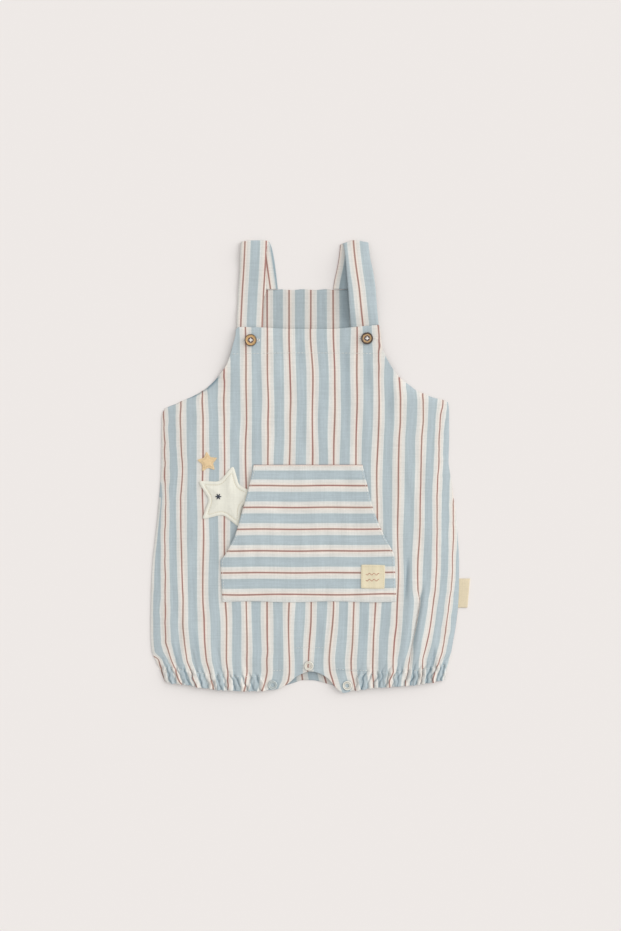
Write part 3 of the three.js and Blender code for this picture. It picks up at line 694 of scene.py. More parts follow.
def body_plan(
    outline: Outline, lower: Curve, upper: Curve, levels: Array, columns: int
) -> Array:
    """Lay out a body panel: level rows in the middle, rows bent to its lower and its upper edge.

    Args:
        outline: Left and right edges.
        lower: The lower edge.
        upper: The upper edge.
        levels: Shares of the way up, as levels between the lowest and the highest one.
        columns: Number of columns.

    Returns:
        Rows by columns of flat points.
    """
    share = np.linspace(0.0, 1.0, columns)
    bend_low, bend_high = -180.0, levels[-1] - 14.0
    plan = np.empty((len(levels), columns, 2))
    for i, level in enumerate(levels):
        y = np.full(columns, level)
        for _ in range(6):
            left, right = outline.at(y)
            x = left + (right - left) * share
            if level < bend_low:
                part = (level - bend_low) / (levels[0] - bend_low)
                y = bend_low + (lower(x) - bend_low) * part
            elif level > bend_high:
                part = (level - bend_high) / (levels[-1] - bend_high)
                y = bend_high + (upper(x) - bend_high) * part
        plan[i, :, 0] = x
        plan[i, :, 1] = y
    return plan


def gathered_repeats(x: Array, y: Array) -> Array:
    """Give the stripes' repeats where each gather hides some cloth in the slit beside it."""
    value = STRIPES.repeats(x, y)
    for part in GATHERS:
        away, strength = part.shift(x, y)
        middle = STRIPES.repeats(x - away, y) + away / STRIPE_REPEAT
        value = value + (middle - value) * 0.8 * np.clip(strength * 1.3, 0.0, 1.0)
    return value


WOVEN_WAVER = Ripples(31, 14, 0.52, (26.0, 84.0))
CRUMPLED_EDGE = Ripples(37, 12, 0.7, (9.0, 26.0))


def body_threads(x: Array, y: Array) -> Array:
    """Give the cloth coordinates of the front, with the pale edge that shows along its left side."""
    count = gathered_repeats(x, y)
    near_left = np.clip((FRONT.at(y)[0] + 2.7 - x) / 1.0, 0.0, 1.0)
    near_left = near_left * between(26.0, 34.0, 186.0, 192.0, -y)
    count = np.minimum(count, count + (EDGE_STRIPE - count) * near_left)
    side = np.abs(2 * FRONT.across(x, y) - 1)
    waver = WOVEN_WAVER.relief(x, y) + CRUMPLED_EDGE.relief(x, y) * side**10
    return np.column_stack([count * STRIPE_REPEAT + waver, y])


def back_threads(x: Array, y: Array) -> Array:
    """Give the cloth coordinates of the back, whose stripes drift from the front's towards the crotch."""
    drift = BACK_DRIFT * (1 - smooth_step(-205.0, 60.0, y))
    return np.column_stack([gathered_repeats(x + drift, y) * STRIPE_REPEAT, y])


def pocket_threads(x: Array, y: Array) -> Array:
    """Give the cloth coordinates of the pocket, whose stripes run across."""
    waver = 0.5 * np.sin(x / 14.0) * (1 - smooth_step(-130.0, -118.0, y))
    drawn_up = 0.65 + 0.2 * np.sin(x / 11.0) + 0.3 * smooth_step(20.0, 80.0, x)
    waver = waver - drawn_up * (1 - smooth_step(-14.0, -2.0, y))
    count = (y - POCKET_RED_LINE + waver) / POCKET_REPEAT
    count = np.maximum(count, POCKET_LAST_STRIPE + (y + 135.0) * 0.004)
    return np.column_stack([count * STRIPE_REPEAT, x])


def linear(red: float, green: float, blue: float) -> tuple[float, float, float, float]:
    """Turn a tone as seen in even light, 0 to 255, into the surface's own linear colour."""

    def channel(value: float) -> float:
        share = value / 255.0
        lit = share / 12.92 if share <= 0.04045 else ((share + 0.055) / 1.055) ** 2.4
        return lit / LIGHT_LEVEL

    return (channel(red), channel(green), channel(blue), 1.0)


class Weave(Enum):
    """How a cloth's colour is laid out over it."""

    STRIPED = "striped"
    PLAIN = "plain"


class Sketch:
    """Short calls that build one material's nodes."""

    def __init__(self, name: str) -> None:
        """Start a material with its principled shader."""
        self.material = bpy.data.materials.new(name)
        self.material.use_nodes = True
        self.tree = self.material.node_tree
        self.shader = self.tree.nodes["Principled BSDF"]

    def node(self, kind: str, inputs: dict | None = None, **settings: object) -> bpy.types.Node:
        """Add a node, set its options, and set or link its inputs."""
        made = self.tree.nodes.new(kind)
        for key, value in settings.items():
            setattr(made, key, value)
        for key, value in (inputs or {}).items():
            if isinstance(value, Socket):
                self.tree.links.new(value, made.inputs[key])
            else:
                made.inputs[key].default_value = value
        return made

    def math(self, operation: str, a: object, b: object = 0.0) -> Socket:
        """Add a math node and give its output."""
        return self.node("ShaderNodeMath", {0: a, 1: b}, operation=operation).outputs[0]

    def mix(self, blend: str, share: object, a: object, b: object) -> Socket:
        """Add a colour mix and give its output."""
        made = self.node("ShaderNodeMix", {0: share, 6: a, 7: b}, data_type="RGBA", blend_type=blend)
        return made.outputs[2]

    def ramp(self, share: object, stops: tuple[tuple[float, tuple], ...]) -> Socket:
        """Add a colour ramp with these stops and give its colour."""
        made = self.node("ShaderNodeValToRGB", {0: share})
        elements = made.color_ramp.elements
        while len(elements) < len(stops):
            elements.new(0.5)
        for element, (place, colour) in zip(elements, stops):
            element.position = place
        for element, (place, colour) in zip(elements, stops):
            element.color = colour
        return made.outputs[0]

    def noise(self, vector: object, scale: Tone, detail: float = 2.0) -> Socket:
        """Add noise over scaled coordinates and give its value."""
        spread = self.node("ShaderNodeMapping", {"Vector": vector, "Scale": scale}).outputs[0]
        return self.node("ShaderNodeTexNoise", {"Vector": spread, "Scale": 1.0, "Detail": detail}).outputs[0]

    def shade(self, value: object, low: float, high: float) -> Socket:
        """Map a noise value to a narrow band of brightness."""
        made = self.node("ShaderNodeMapRange", {0: value, 1: 0.3, 2: 0.7, 3: low, 4: high})
        return made.outputs[0]

    def surface(self, **values: float) -> None:
        """Set constants on the shader's own sockets."""
        for key, value in values.items():
            self.shader.inputs[key.replace("_", " ")].default_value = value

    def colour(self, socket: Socket) -> None:
        """Link the base colour."""
        self.tree.links.new(socket, self.shader.inputs["Base Color"])

    def bump(self, height: object, distance: float, strength: float) -> None:
        """Link a bump of this height in metres."""
        made = self.node("ShaderNodeBump", {"Height": height, "Distance": distance, "Strength": strength})
        self.tree.links.new(made.outputs[0], self.shader.inputs["Normal"])


@dataclass(frozen=True)
class ClothFinish:
    """A woven cotton: its yarns, its slubs and its colours."""

    name: str
    weave: Weave
    ground: Tone
    dullness_and_painted_shade: float = 1.0
    yarn: float = 0.42
    slub: float = 0.05
    sheen: float = 0.12

    WARM_WHITE = (230.0, 221.0, 211.5)
    WHITE = (221.0, 219.0, 213.0)
    COOL_WHITE = (220.0, 221.0, 217.5)
    RED = (165.0, 118.0, 111.0)
    WORN_RED = (168.0, 143.0, 130.0)
    BLUE = (176.5, 188.5, 191.0)
    PALE_BLUE = (179.0, 191.0, 195.5)
    # The tone that painted shade darkens the cloth towards, in folds, slits and shadows
    PAINTED_SHADE_TONE = (0.46, 0.55, 0.61, 1.0)

    def tone(self, colour: Tone) -> tuple[float, float, float, float]:
        """Give a colour, darker on the cloth's inside: partly its own duller tone, partly painted shade."""
        lit = linear(*colour)
        return (*(channel * self.dullness_and_painted_shade for channel in lit[:3]), 1.0)

    def stripe_colour(self, sketch: Sketch, across: Socket) -> Socket:
        """Lay the repeat out: a red line, a white band, a blue band and a white band."""
        place = sketch.math("FRACT", sketch.math("DIVIDE", across, STRIPE_REPEAT * MM))
        red, warm, white, cool, blue, pale = (
            self.tone(colour)
            for colour in (self.RED, self.WARM_WHITE, self.WHITE, self.COOL_WHITE, self.BLUE, self.PALE_BLUE)
        )
        stops = (
            (0.0, red), (0.026, red), (0.042, warm), (0.096, warm), (0.150, white), (0.215, white),
            (0.262, cool), (0.284, blue), (0.400, pale), (0.560, pale), (0.706, blue), (0.728, cool),
            (0.780, white), (0.850, white), (0.905, warm), (0.954, warm), (0.970, red), (1.0, red),
        )
        on, off = (1.0, 1.0, 1.0, 1.0), (0.0, 0.0, 0.0, 1.0)
        line = ((0.0, on), (0.026, on), (0.042, off), (0.954, off), (0.970, on), (1.0, on))
        coordinates = sketch.node("ShaderNodeUVMap", uv_map=UV_NAME).outputs[0]
        wear = sketch.shade(sketch.noise(coordinates, (46.0, 15.0, 1.0), 2.0), 0.0, 0.85)
        share = sketch.math("MULTIPLY", sketch.ramp(place, line), wear)
        return sketch.mix("MIX", share, sketch.ramp(place, stops), self.tone(self.WORN_RED))

    def build(self) -> Material:
        """Build the material on the piece's own cloth coordinates.

        Returns:
            The finished material.
        """
        sketch = Sketch(self.name)
        coordinates = sketch.node("ShaderNodeUVMap", uv_map=UV_NAME).outputs[0]
        parts = sketch.node("ShaderNodeSeparateXYZ", {0: coordinates})
        across, along = parts.outputs[0], parts.outputs[1]
        if self.weave is Weave.STRIPED:
            base = self.stripe_colour(sketch, across)
        else:
            base = sketch.node("ShaderNodeRGB").outputs[0]
            base.default_value = self.tone(self.ground)
        slub = self.slub
        warp, weft, mottle, streak = (
            sketch.shade(sketch.noise(coordinates, (across_scale, along_scale, 1.0), detail), low, high)
            for across_scale, along_scale, detail, low, high in (
                (950.0, 34.0, 3.0, 1 - slub, 1 + slub),
                (40.0, 700.0, 2.0, 1 - slub * 0.8, 1 + slub * 0.8),
                (560.0, 420.0, 3.0, 1 - slub * 0.7, 1.03),
                (330.0, 16.0, 2.0, 1 - slub, 1.03),
            )
        )
        yarn_tone = sketch.math("MULTIPLY", warp, weft)
        value = sketch.math("MULTIPLY", yarn_tone, sketch.math("MULTIPLY", mottle, streak))
        # Painted shade: darken the cloth towards that tone as far as the attribute says
        depth = sketch.node("ShaderNodeAttribute", attribute_name=PAINTED_SHADE_NAME).outputs["Fac"]
        painted_shade_colour = sketch.mix("MULTIPLY", depth, base, self.PAINTED_SHADE_TONE)
        sketch.colour(sketch.mix("MULTIPLY", 1.0, painted_shade_colour, value))
        turn = 2 * math.pi / (self.yarn * 2 * MM)
        over = sketch.math("SINE", sketch.math("MULTIPLY", across, turn))
        under = sketch.math("SINE", sketch.math("MULTIPLY", along, turn))
        yarns = sketch.math("MULTIPLY", sketch.math("MULTIPLY", over, under), 0.35)
        height = sketch.math("ADD", yarns, sketch.math("MULTIPLY", sketch.math("ADD", warp, weft), 3.0))
        sketch.bump(height, 0.00012, 0.5)
        sketch.surface(Roughness=0.92, Sheen_Weight=self.sheen, Sheen_Roughness=0.5)
        sketch.shader.inputs["Specular IOR Level"].default_value = 0.2
        return sketch.material


class Grain(Enum):
    """Flecks of a plain finish: scale, detail, darkest and lightest, bump in metres and its strength."""

    THREAD = (2600.0, 2.0, 0.93, 1.03, 0.0001, 0.4)
    ENAMEL = (700.0, 4.0, 0.92, 1.04, 0.00004, 0.3)


@dataclass(frozen=True)
class FleckedFinish:
    """Sewing thread or worn enamel: one colour with faint flecks on object coordinates."""

    name: str
    colour: Tone
    grain: Grain = Grain.THREAD

    def build(self) -> Material:
        """Build the material, satin for enamel and soft for thread."""
        scale, detail, low, high, distance, strength = self.grain.value
        sketch = Sketch(self.name)
        place = sketch.node("ShaderNodeTexCoord").outputs["Object"]
        fleck = sketch.shade(sketch.noise(place, (scale, scale, scale), detail), low, high)
        base = sketch.node("ShaderNodeRGB").outputs[0]
        base.default_value = linear(*self.colour)
        sketch.colour(sketch.mix("MULTIPLY", 1.0, base, fleck))
        sketch.bump(fleck, distance, strength)
        if self.grain is Grain.THREAD:
            sketch.surface(Roughness=0.7, Sheen_Weight=0.15)
        else:
            sketch.surface(Roughness=0.36, Metallic=0.15)
        return sketch.material


@dataclass(frozen=True)
class HornFinish:
    """A mottled horn-like button, golden in the middle and dark at the rim."""

    name: str
    x: float
    y: float
    golden: float
    rim: float

    def build(self) -> Material:
        """Build the material round the button's middle."""
        sketch = Sketch(self.name)
        place = sketch.node("ShaderNodeTexCoord").outputs["Object"]
        shift = (-self.x * MM, -self.y * MM, 0.0)
        moved = sketch.node("ShaderNodeMapping", {"Vector": place, "Location": shift}).outputs[0]
        flat = sketch.node("ShaderNodeVectorMath", {0: moved, 1: (1.0, 1.0, 0.0)}, operation="MULTIPLY")
        reach = sketch.node("ShaderNodeVectorMath", {0: flat.outputs[0]}, operation="LENGTH").outputs["Value"]
        cloud = sketch.noise(moved, (380.0, 250.0, 300.0), 4.0)
        stir = sketch.math("MULTIPLY", sketch.math("SUBTRACT", cloud, 0.5), 0.28)
        edge = sketch.math("ADD", sketch.math("DIVIDE", reach, 6.4 * MM), stir)
        dark, ruddy = linear(74.0, 52.0, 38.0), linear(88.0, 50.0, 34.0)
        golden = linear(*(part * self.golden for part in (198.0, 158.0, 100.0)))
        rim = self.rim
        stops = ((0.0, ruddy), (0.43, ruddy), (0.51, golden), (rim - 0.08, golden), (rim, dark), (1.0, dark))
        body = sketch.ramp(edge, stops)
        grain = sketch.shade(sketch.noise(moved, (1500.0, 420.0, 900.0), 3.0), 0.86, 1.1)
        sketch.colour(sketch.mix("MULTIPLY", 1.0, body, grain))
        sketch.bump(grain, 0.00005, 0.3)
        sketch.surface(Roughness=0.34, Coat_Weight=0.25, Coat_Roughness=0.2)
        return sketch.material


@dataclass(frozen=True)
class FloorFinish:
    """Plain pale studio floor."""

    name: str
    colour: Tone

    def build(self) -> Material:
        """Build the plain floor material."""
        sketch = Sketch(self.name)
        sketch.shader.inputs["Base Color"].default_value = linear(*self.colour)
        sketch.surface(Roughness=0.95)
        sketch.shader.inputs["Specular IOR Level"].default_value = 0.0
        return sketch.material


STRIPED_CLOTH = ClothFinish("striped_chambray", Weave.STRIPED, (0.0, 0.0, 0.0))
# The back's inside: partly the cloth's own duller wrong side, partly painted shade
STRIPED_INSIDE_SHADED = ClothFinish("striped_chambray_inside_shaded", Weave.STRIPED, (0.0, 0.0, 0.0), dullness_and_painted_shade=0.90)
CREAM_CLOTH = ClothFinish("cream_cotton", Weave.PLAIN, (229.0, 226.5, 213.5), yarn=0.34, slub=0.025)
TAN_CLOTH = ClothFinish("tan_cotton", Weave.PLAIN, (226.0, 198.0, 156.0), yarn=0.34, slub=0.03)
LABEL_TAPE = ClothFinish("label_tape", Weave.PLAIN, (226.0, 211.5, 182.0), yarn=0.3, slub=0.03)
PATCH_CLOTH = ClothFinish("patch_cloth", Weave.PLAIN, (227.0, 215.5, 186.0), yarn=0.3, slub=0.03)
WHITE_THREAD = FleckedFinish("white_thread", (228.0, 228.0, 221.0))
BRIGHT_THREAD = FleckedFinish("bright_thread", (247.0, 244.0, 238.0))
CREAM_THREAD = FleckedFinish("cream_thread", (222.0, 208.0, 176.0))
NAVY_THREAD = FleckedFinish("navy_thread", (52.0, 58.0, 72.0))
RUST_THREAD = FleckedFinish("rust_thread", (186.0, 92.0, 60.0))
SNAP_ENAMEL = FleckedFinish("snap_enamel", (232.0, 228.0, 216.0), Grain.ENAMEL)
DIM_ENAMEL = FleckedFinish("snap_enamel_dim", (196.0, 204.0, 202.0), Grain.ENAMEL)
FLOOR = FloorFinish("pale_floor", (236.0, 231.0, 228.0))
SNAPS = (
    ("left", -39.4, -218.8, DIM_ENAMEL),
    ("middle", -3.3, -199.6, SNAP_ENAMEL),
    ("right", 35.0, -219.4, SNAP_ENAMEL),
)


class Wardrobe:
    """Materials that have been built, one of each finish."""

    def __init__(self) -> None:
        """Start empty."""
        self.made: dict[str, Material] = {}

    def dress(self, piece: Piece, finish: object, slot: str | None = None) -> None:
        """Give a piece its finish and its body."""
        if finish.name not in self.made:
            self.made[finish.name] = finish.build()
        piece.data.materials.clear()
        piece.data.materials.append(self.made[finish.name])
        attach(piece, BODY)
        logging.info("%s: %d faces", piece.name, len(piece.data.polygons))


@dataclass
class Panels:
    """The front and the back with their gathered leg hems."""

    columns: int = 460
    back_columns: int = 150
    front_cut: tuple[float, float] = (0.335, 0.385)
    back_cut: tuple[float, float] = (0.335, 0.42)

    def front(self, wardrobe: Wardrobe) -> Piece:
        """Make the front in one sheet, from the hems to the bib's top edge."""
        levels = steps((-226.0, 0.0), (-182.0, 1.0), (-118.0, 1.8), (58.0, 3.2), (98.0, 1.5), (139.0, 2.2))
        plan = body_plan(FRONT, lower_edge, edge_curve(BIB_TOP), levels, self.columns)
        for part in GATHERS:
            hem = plan[0]
            plan[0, :, 1] -= 0.45 * part.relief(hem[:, 0], lower_edge(hem[:, 0]))
        piece = cloth_sheet("front", plan, front_top, body_threads, painted_shading=front_painted_shade)
        wardrobe.dress(piece, STRIPED_CLOTH, "striped_cloth")
        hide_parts("front_panel", "front_left_leg_hem", "front_right_leg_hem")
        return piece

    def waves(self, x: Array, y: Array) -> Array:
        """Give how far the back's folds rise off the floor."""
        return np.maximum(sum(fold.relief(x, y) for fold in BACK_FOLDS), 0.0) * 0.3

    def under(self, x: Array, y: Array) -> Array:
        """Give the back's underside: flat on the floor, a little drawn up in the gathers and folds."""
        lift = sum(part.relief(x, y) for part in GATHERS) * 0.25
        return GROUND + lift + self.waves(x, y)

    def over(self, x: Array, y: Array) -> Array:
        """Give the back's upper side, which the front lies on."""
        gathers = sum(part.relief(x, y) for part in GATHERS) * 0.3
        return BACK_RISE + gathers + self.waves(x, y) - 0.65 * edge_press(BACK, x, y)

    def back(self, wardrobe: Wardrobe) -> Piece:
        """Make the back, with the back bib, as one thin wall."""
        levels = steps((-226.0, 0.0), (-182.0, 1.6), (58.0, 4.0), (98.0, 2.0), (177.0, 3.0))
        lower, upper = edge_curve(BACK_LOWER), edge_curve(BACK_TOP)
        plan = body_plan(BACK, lower, upper, levels, self.back_columns)
        piece = cloth_wall("back", plan, self.under, self.over, back_threads, back_painted_shade)
        wardrobe.dress(piece, STRIPED_INSIDE_SHADED, "striped_cloth")
        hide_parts("back_panel", "back_left_leg_hem", "back_right_leg_hem")
        return piece


@dataclass
class KangarooPocket:
    """The pocket with its two slanted openings."""

    columns: int = 118

    def build(self, wardrobe: Wardrobe) -> Piece:
        """Make the pocket over the front."""
        low, high = POCKET_SECTIONS[0][0], POCKET_SECTIONS[-1][0]
        levels = steps((low, 0.0), (high, 1.5))
        share = np.linspace(0.0, 1.0, self.columns)
        left, right = POCKET.at(levels)
        plan = np.empty((len(levels), self.columns, 2))
        plan[..., 0] = left[:, None] + (right - left)[:, None] * share
        near_low = (1 - smooth_step(low, low + 12, levels))[:, None]
        plan[..., 1] = levels[:, None] + 0.5 * np.sin(plan[..., 0] / 13.0) * near_low
        roll = ((0.14, 0.25), (0.16, 0.6), (-0.3, 0.9), (-9.0, 0.95))
        piece = cloth_sheet("pocket", plan, pocket_top, pocket_threads, roll)
        wardrobe.dress(piece, STRIPED_CLOTH, "striped_cloth")
        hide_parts("pocket")
        return piece


@dataclass
class Strap:
    """A shoulder strap of double cloth, folded over itself.

    A layer's rows are its level, left edge, right edge, a red line in it, and its underside's height.
    """

    name: str
    front: Rows
    back: Rows
    pitch: float
    crest_sag: tuple[float, float]
    # How strongly painted shade darkens the back layer beside the front layer's edge, and from which place
    # across the stripes it starts
    shade: float
    shade_from: float = 5.2
    tilt: float = 0.0
    droop: float = 0.0
    wall: float = 1.6
    flat_side: float = 0.03
    across: int = 18
    spacing: float = 2.5

    def layer(self, levels: Rows) -> Array:
        """Read a layer's rows close together, from its lowest level to its highest."""
        table = np.array(sorted(levels))
        count = int((table[-1, 0] - table[0, 0]) / self.spacing) + 2
        y = np.linspace(table[0, 0], table[-1, 0], count)
        return np.column_stack([y, pchip(table[:, 0], table[:, 1:], y)])

    def section(self, left: Array, right: Array, up: Array, red: float, bent: float) -> tuple[Array, Array]:
        """Give one closed section across the strap, and its cloth coordinates across.

        Args:
            left: The middle of the left edge.
            right: The middle of the right edge.
            up: Direction of the outer side.
            red: Place of the red line, along X.
            bent: How much the section follows the fold's crooked crest, from 0 to 1.

        Returns:
            The section's points, and the distance of each from the red line.
        """
        half = self.wall / 2
        share = np.linspace(0.0, 1.0, self.across)
        width = np.linalg.norm(right - left)
        inset = np.minimum(share, 1 - share) * width
        thick = half * (0.55 + 0.45 * np.clip(inset / 1.4, 0.0, 1.0) ** 0.5) + 0.25 * np.sin(math.pi * share)
        middle = left + (right - left) * share[:, None]
        sag_left, sag_right = self.crest_sag
        sag = sag_left * (1 - smooth_step(0.0, 0.4, share)) + sag_right * smooth_step(0.45, 1.0, share)
        middle[:, 1] -= bent * sag
        outer = middle + up * thick[:, None]
        inner = middle - up * thick[:, None]
        out = (right - left) / width * 0.3
        points = np.vstack([outer, [middle[-1] + out], inner[::-1], [middle[0] - out]])
        place = np.concatenate([middle[:, 0], [right[0]], middle[::-1, 0], [left[0]]])
        return points, (place - red) / self.pitch * STRIPE_REPEAT

    def build(self, wardrobe: Wardrobe) -> Piece:
        """Make the strap from its hidden end in front, over the fold, to the back bib.

        Returns:
            The strap's object.
        """
        front, back = self.layer(self.front), self.layer(self.back)[::-1]
        top, bottom = front[-1], back[0]
        half = self.wall / 2
        near = lambda y: smooth_step(top[0] - 12.0, top[0], y)
        stations = []
        up = np.array([0.0, 0.0, 1.0])
        for y, left, right, red, under in front:
            height = under + half
            lying = smooth_step(1.5, 2.3, under) * (1 - smooth_step(196.0, 214.0, y))
            lift = self.tilt * smooth_step(2.4, 6.0, under) - self.droop * lying
            ends = np.array([[left, y, height + lift], [right, y, height]])
            stations.append((*ends, up, red, near(y)))
        centre = (top[4] + self.wall) / 2
        radius = centre - half
        for turned in np.linspace(0.0, 1.0, 13)[1:-1]:
            angle = math.pi * (0.5 - turned)
            reach, rise = radius * math.cos(angle), centre + radius * math.sin(angle)
            side = top + (bottom - top) * smooth_step(0.45, 1.0, turned)
            direction = np.array([0.0, math.cos(angle), math.sin(angle)])
            ends = np.array([[side[k], top[0] + reach, rise] for k in (1, 2)])
            stations.append((*ends, direction, side[3], 1.0))
        folded = len(stations)
        for y, left, right, red, under in back:
            ends = np.array([[left, y, half + GROUND], [right, y, half + GROUND]])
            stations.append((*ends, -up, red, near(y)))
        rings, across, painted_shading, lengths, along = [], [], [], [], 0.0
        for k, (left, right, direction, red, bent) in enumerate(stations):
            points, place = self.section(left, right, direction, red, bent)
            points[:, 2] = np.maximum(points[:, 2], self.flat_side)
            rings.append(points)
            across.append(place)
            # Painted shade on the back layer, where the front layer's shadow falls
            shaded = smooth_step(self.shade_from, self.shade_from + 1.4, place)
            painted_shading.append(self.shade * shaded * float(k >= folded))
            if k:
                before = (stations[k - 1][0] + stations[k - 1][1]) / 2
                along += float(np.linalg.norm((left + right) / 2 - before))
            lengths.append(np.full(len(points), along))
        size = len(rings[0])
        faces = []
        for k in range(len(rings) - 1):
            here = k * size + np.arange(size)
            faces += [face[::-1] for face in band(here, here + size)]
        faces.append(list(range(size)))
        faces.append(list(range(len(rings) * size - 1, (len(rings) - 1) * size - 1, -1)))
        uv = np.column_stack([np.concatenate(across), np.concatenate(lengths)])
        name = self.name + "_front_to_back"
        piece = mesh_object(name, np.vstack(rings), faces, uv, np.concatenate(painted_shading))
        wardrobe.dress(piece, STRIPED_CLOTH, "striped_cloth")
        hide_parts(self.name)
        return piece


LEFT_STRAP = Strap(
    "left_strap",
    front=(
        (113.6, -71.2, -50.2, -71.8, 1.5), (138.6, -75.2, -49.4, -71.4, 1.5),
        (165.6, -74.4, -48.7, -70.3, 2.3), (176.6, -73.8, -46.6, -69.7, 2.9),
        (190.6, -72.8, -46.4, -68.8, 3.1), (210.6, -71.9, -46.4, -67.7, 2.7),
        (223.9, -71.1, -44.6, -67.2, 1.9),
    ),
    back=(
        (223.9, -69.2, -42.9, -48.5, 0.0), (217.6, -67.5, -40.6, -47.4, 0.0),
        (197.6, -63.7, -37.1, -44.6, 0.0), (177.2, -61.2, -34.8, -41.7, 0.0),
    ),
    pitch=21.3,
    crest_sag=(0.9, 0.0),
    shade=0.62,
    shade_from=4.2,
    droop=1.8,
)
RIGHT_STRAP = Strap(
    "right_strap",
    front=(
        (113.6, 40.8, 67.3, 52.4, 1.5), (138.6, 38.9, 66.3, 51.0, 1.5), (145.0, 38.4, 65.7, 50.3, 3.2),
        (152.0, 37.9, 65.0, 49.5, 4.6), (165.6, 36.9, 63.9, 48.1, 5.8), (176.6, 36.1, 63.1, 47.0, 6.2),
        (192.6, 34.8, 60.9, 44.7, 6.0), (210.1, 33.3, 57.3, 42.5, 4.4), (223.9, 31.5, 56.0, 41.3, 2.1),
    ),
    back=(
        (223.9, 28.5, 54.8, 27.9, 0.0), (210.1, 27.2, 53.8, 26.6, 0.0), (197.6, 25.1, 51.8, 24.5, 0.0),
        (184.6, 22.3, 48.8, 21.7, 0.0), (177.2, 21.3, 47.8, 20.6, 0.0),
    ),
    pitch=22.9,
    crest_sag=(2.4, 1.7),
    shade=0.4,
    tilt=2.6,
)


@dataclass
class StarApplique:
    """A padded five-pointed star sewn to the front, with a stitched line inside its edge."""

    name: str
    node: str
    x: float
    y: float
    radius: float
    turn: float
    finish: ClothFinish
    slot: str
    stitch_inset: float
    dome: float
    wall: float = 1.5
    turned_edge: float = 1.5
    waist: float = 0.52
    corner: float = 0.2
    rings: int = 26

    def outline(self) -> Array:
        """Give the star's outline with softly turned points, anticlockwise."""
        corners = []
        for k in range(10):
            reach = self.radius * (self.waist if k % 2 else 1.0)
            angle = math.radians(self.turn + 36 * k)
            corners.append((self.x + reach * math.cos(angle), self.y + reach * math.sin(angle)))
        corner = np.array(corners)
        points = []
        for k in range(10):
            before = corner[k] + (corner[k - 1] - corner[k]) * self.corner
            after = corner[k] + (corner[(k + 1) % 10] - corner[k]) * self.corner
            start = corner[k - 1] + (corner[k] - corner[k - 1]) * self.corner
            for t in np.linspace(0.0, 1.0, 9)[1:]:
                points.append(start + (before - start) * t)
            for t in np.linspace(0.0, 1.0, 7)[1:]:
                points.append((1 - t) ** 2 * before + 2 * t * (1 - t) * corner[k] + t**2 * after)
        return np.array(points)

    def inside(self, flat: Array, edge: Array) -> Array:
        """Give each point's distance from the outline."""
        start, end = edge, np.roll(edge, -1, axis=0)
        run = end - start
        offset = flat[:, None, :] - start[None]
        share = np.clip((offset * run).sum(-1) / (run**2).sum(-1), 0.0, 1.0)
        return np.linalg.norm(offset - share[..., None] * run, axis=-1).min(axis=1)

    def build(self, wardrobe: Wardrobe) -> Piece:
        """Make the padded star and sew it down.

        Returns:
            The star's object.
        """
        edge = self.outline()
        middle = np.array([self.x, self.y])
        shares = np.linspace(0.0, 1.0, self.rings + 1)[1:] ** 0.75
        flat = np.vstack([middle[None], *[middle + (edge - middle) * share for share in shares]])
        depth = self.inside(flat, edge)
        base = front_top(flat[:, 0], flat[:, 1])
        swell = self.dome * smooth_step(self.stitch_inset, self.stitch_inset + 9.0, depth)
        groove = -0.45 * bell(depth - self.stitch_inset, 0.8)
        edge_round = -0.5 * bell(depth, 0.9)
        covered = 1 - smooth_step(-6.0, 0.0, flat[:, 0] - POCKET.at(flat[:, 1])[0])
        top = base + self.wall + edge_round + (swell + groove) * covered
        count = len(edge)
        points = [np.column_stack([flat, top])]
        faces = [[0, 1 + j, 1 + (j + 1) % count] for j in range(count)]
        for k in range(self.rings - 1):
            inner = 1 + k * count + np.arange(count)
            faces += band(inner, inner + count)
        rim = flat[-count:]
        away = outward(rim)
        last = 1 + (self.rings - 1) * count + np.arange(count)
        first = len(flat)
        uv = [flat - middle]
        for out, height in ((0.15, 0.6), (0.1, 0.2), (-1.5, 0.1)):
            ring = rim + away * out
            points.append(np.column_stack([ring, front_top(rim[:, 0], rim[:, 1]) + height]))
            uv.append(rim - middle)
            here = first + np.arange(count)
            faces += band(last, here)
            last, first = here, first + count
        piece = mesh_object(self.name, np.vstack(points), faces, np.vstack(uv))
        wardrobe.dress(piece, self.finish, self.slot)
        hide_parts(self.node)
        self.edge = edge
        return piece

    def height(self, x: Array, y: Array) -> Array:
        """Give the height of the stitched line on the star."""
        return front_top(x, y) + self.wall - 0.3

    def inset_path(self, inset: float) -> Array:
        """Give the outline drawn in by an even distance, left open where the pocket covers it."""
        run = np.roll(self.edge, -1, axis=0) - np.roll(self.edge, 1, axis=0)
        inward = np.column_stack([-run[:, 1], run[:, 0]])
        path = self.edge + inward / np.linalg.norm(inward, axis=1, keepdims=True) * inset
        path = path[self.inside(path, self.edge) > inset * 0.93]
        return np.vstack([path, path[:1]])


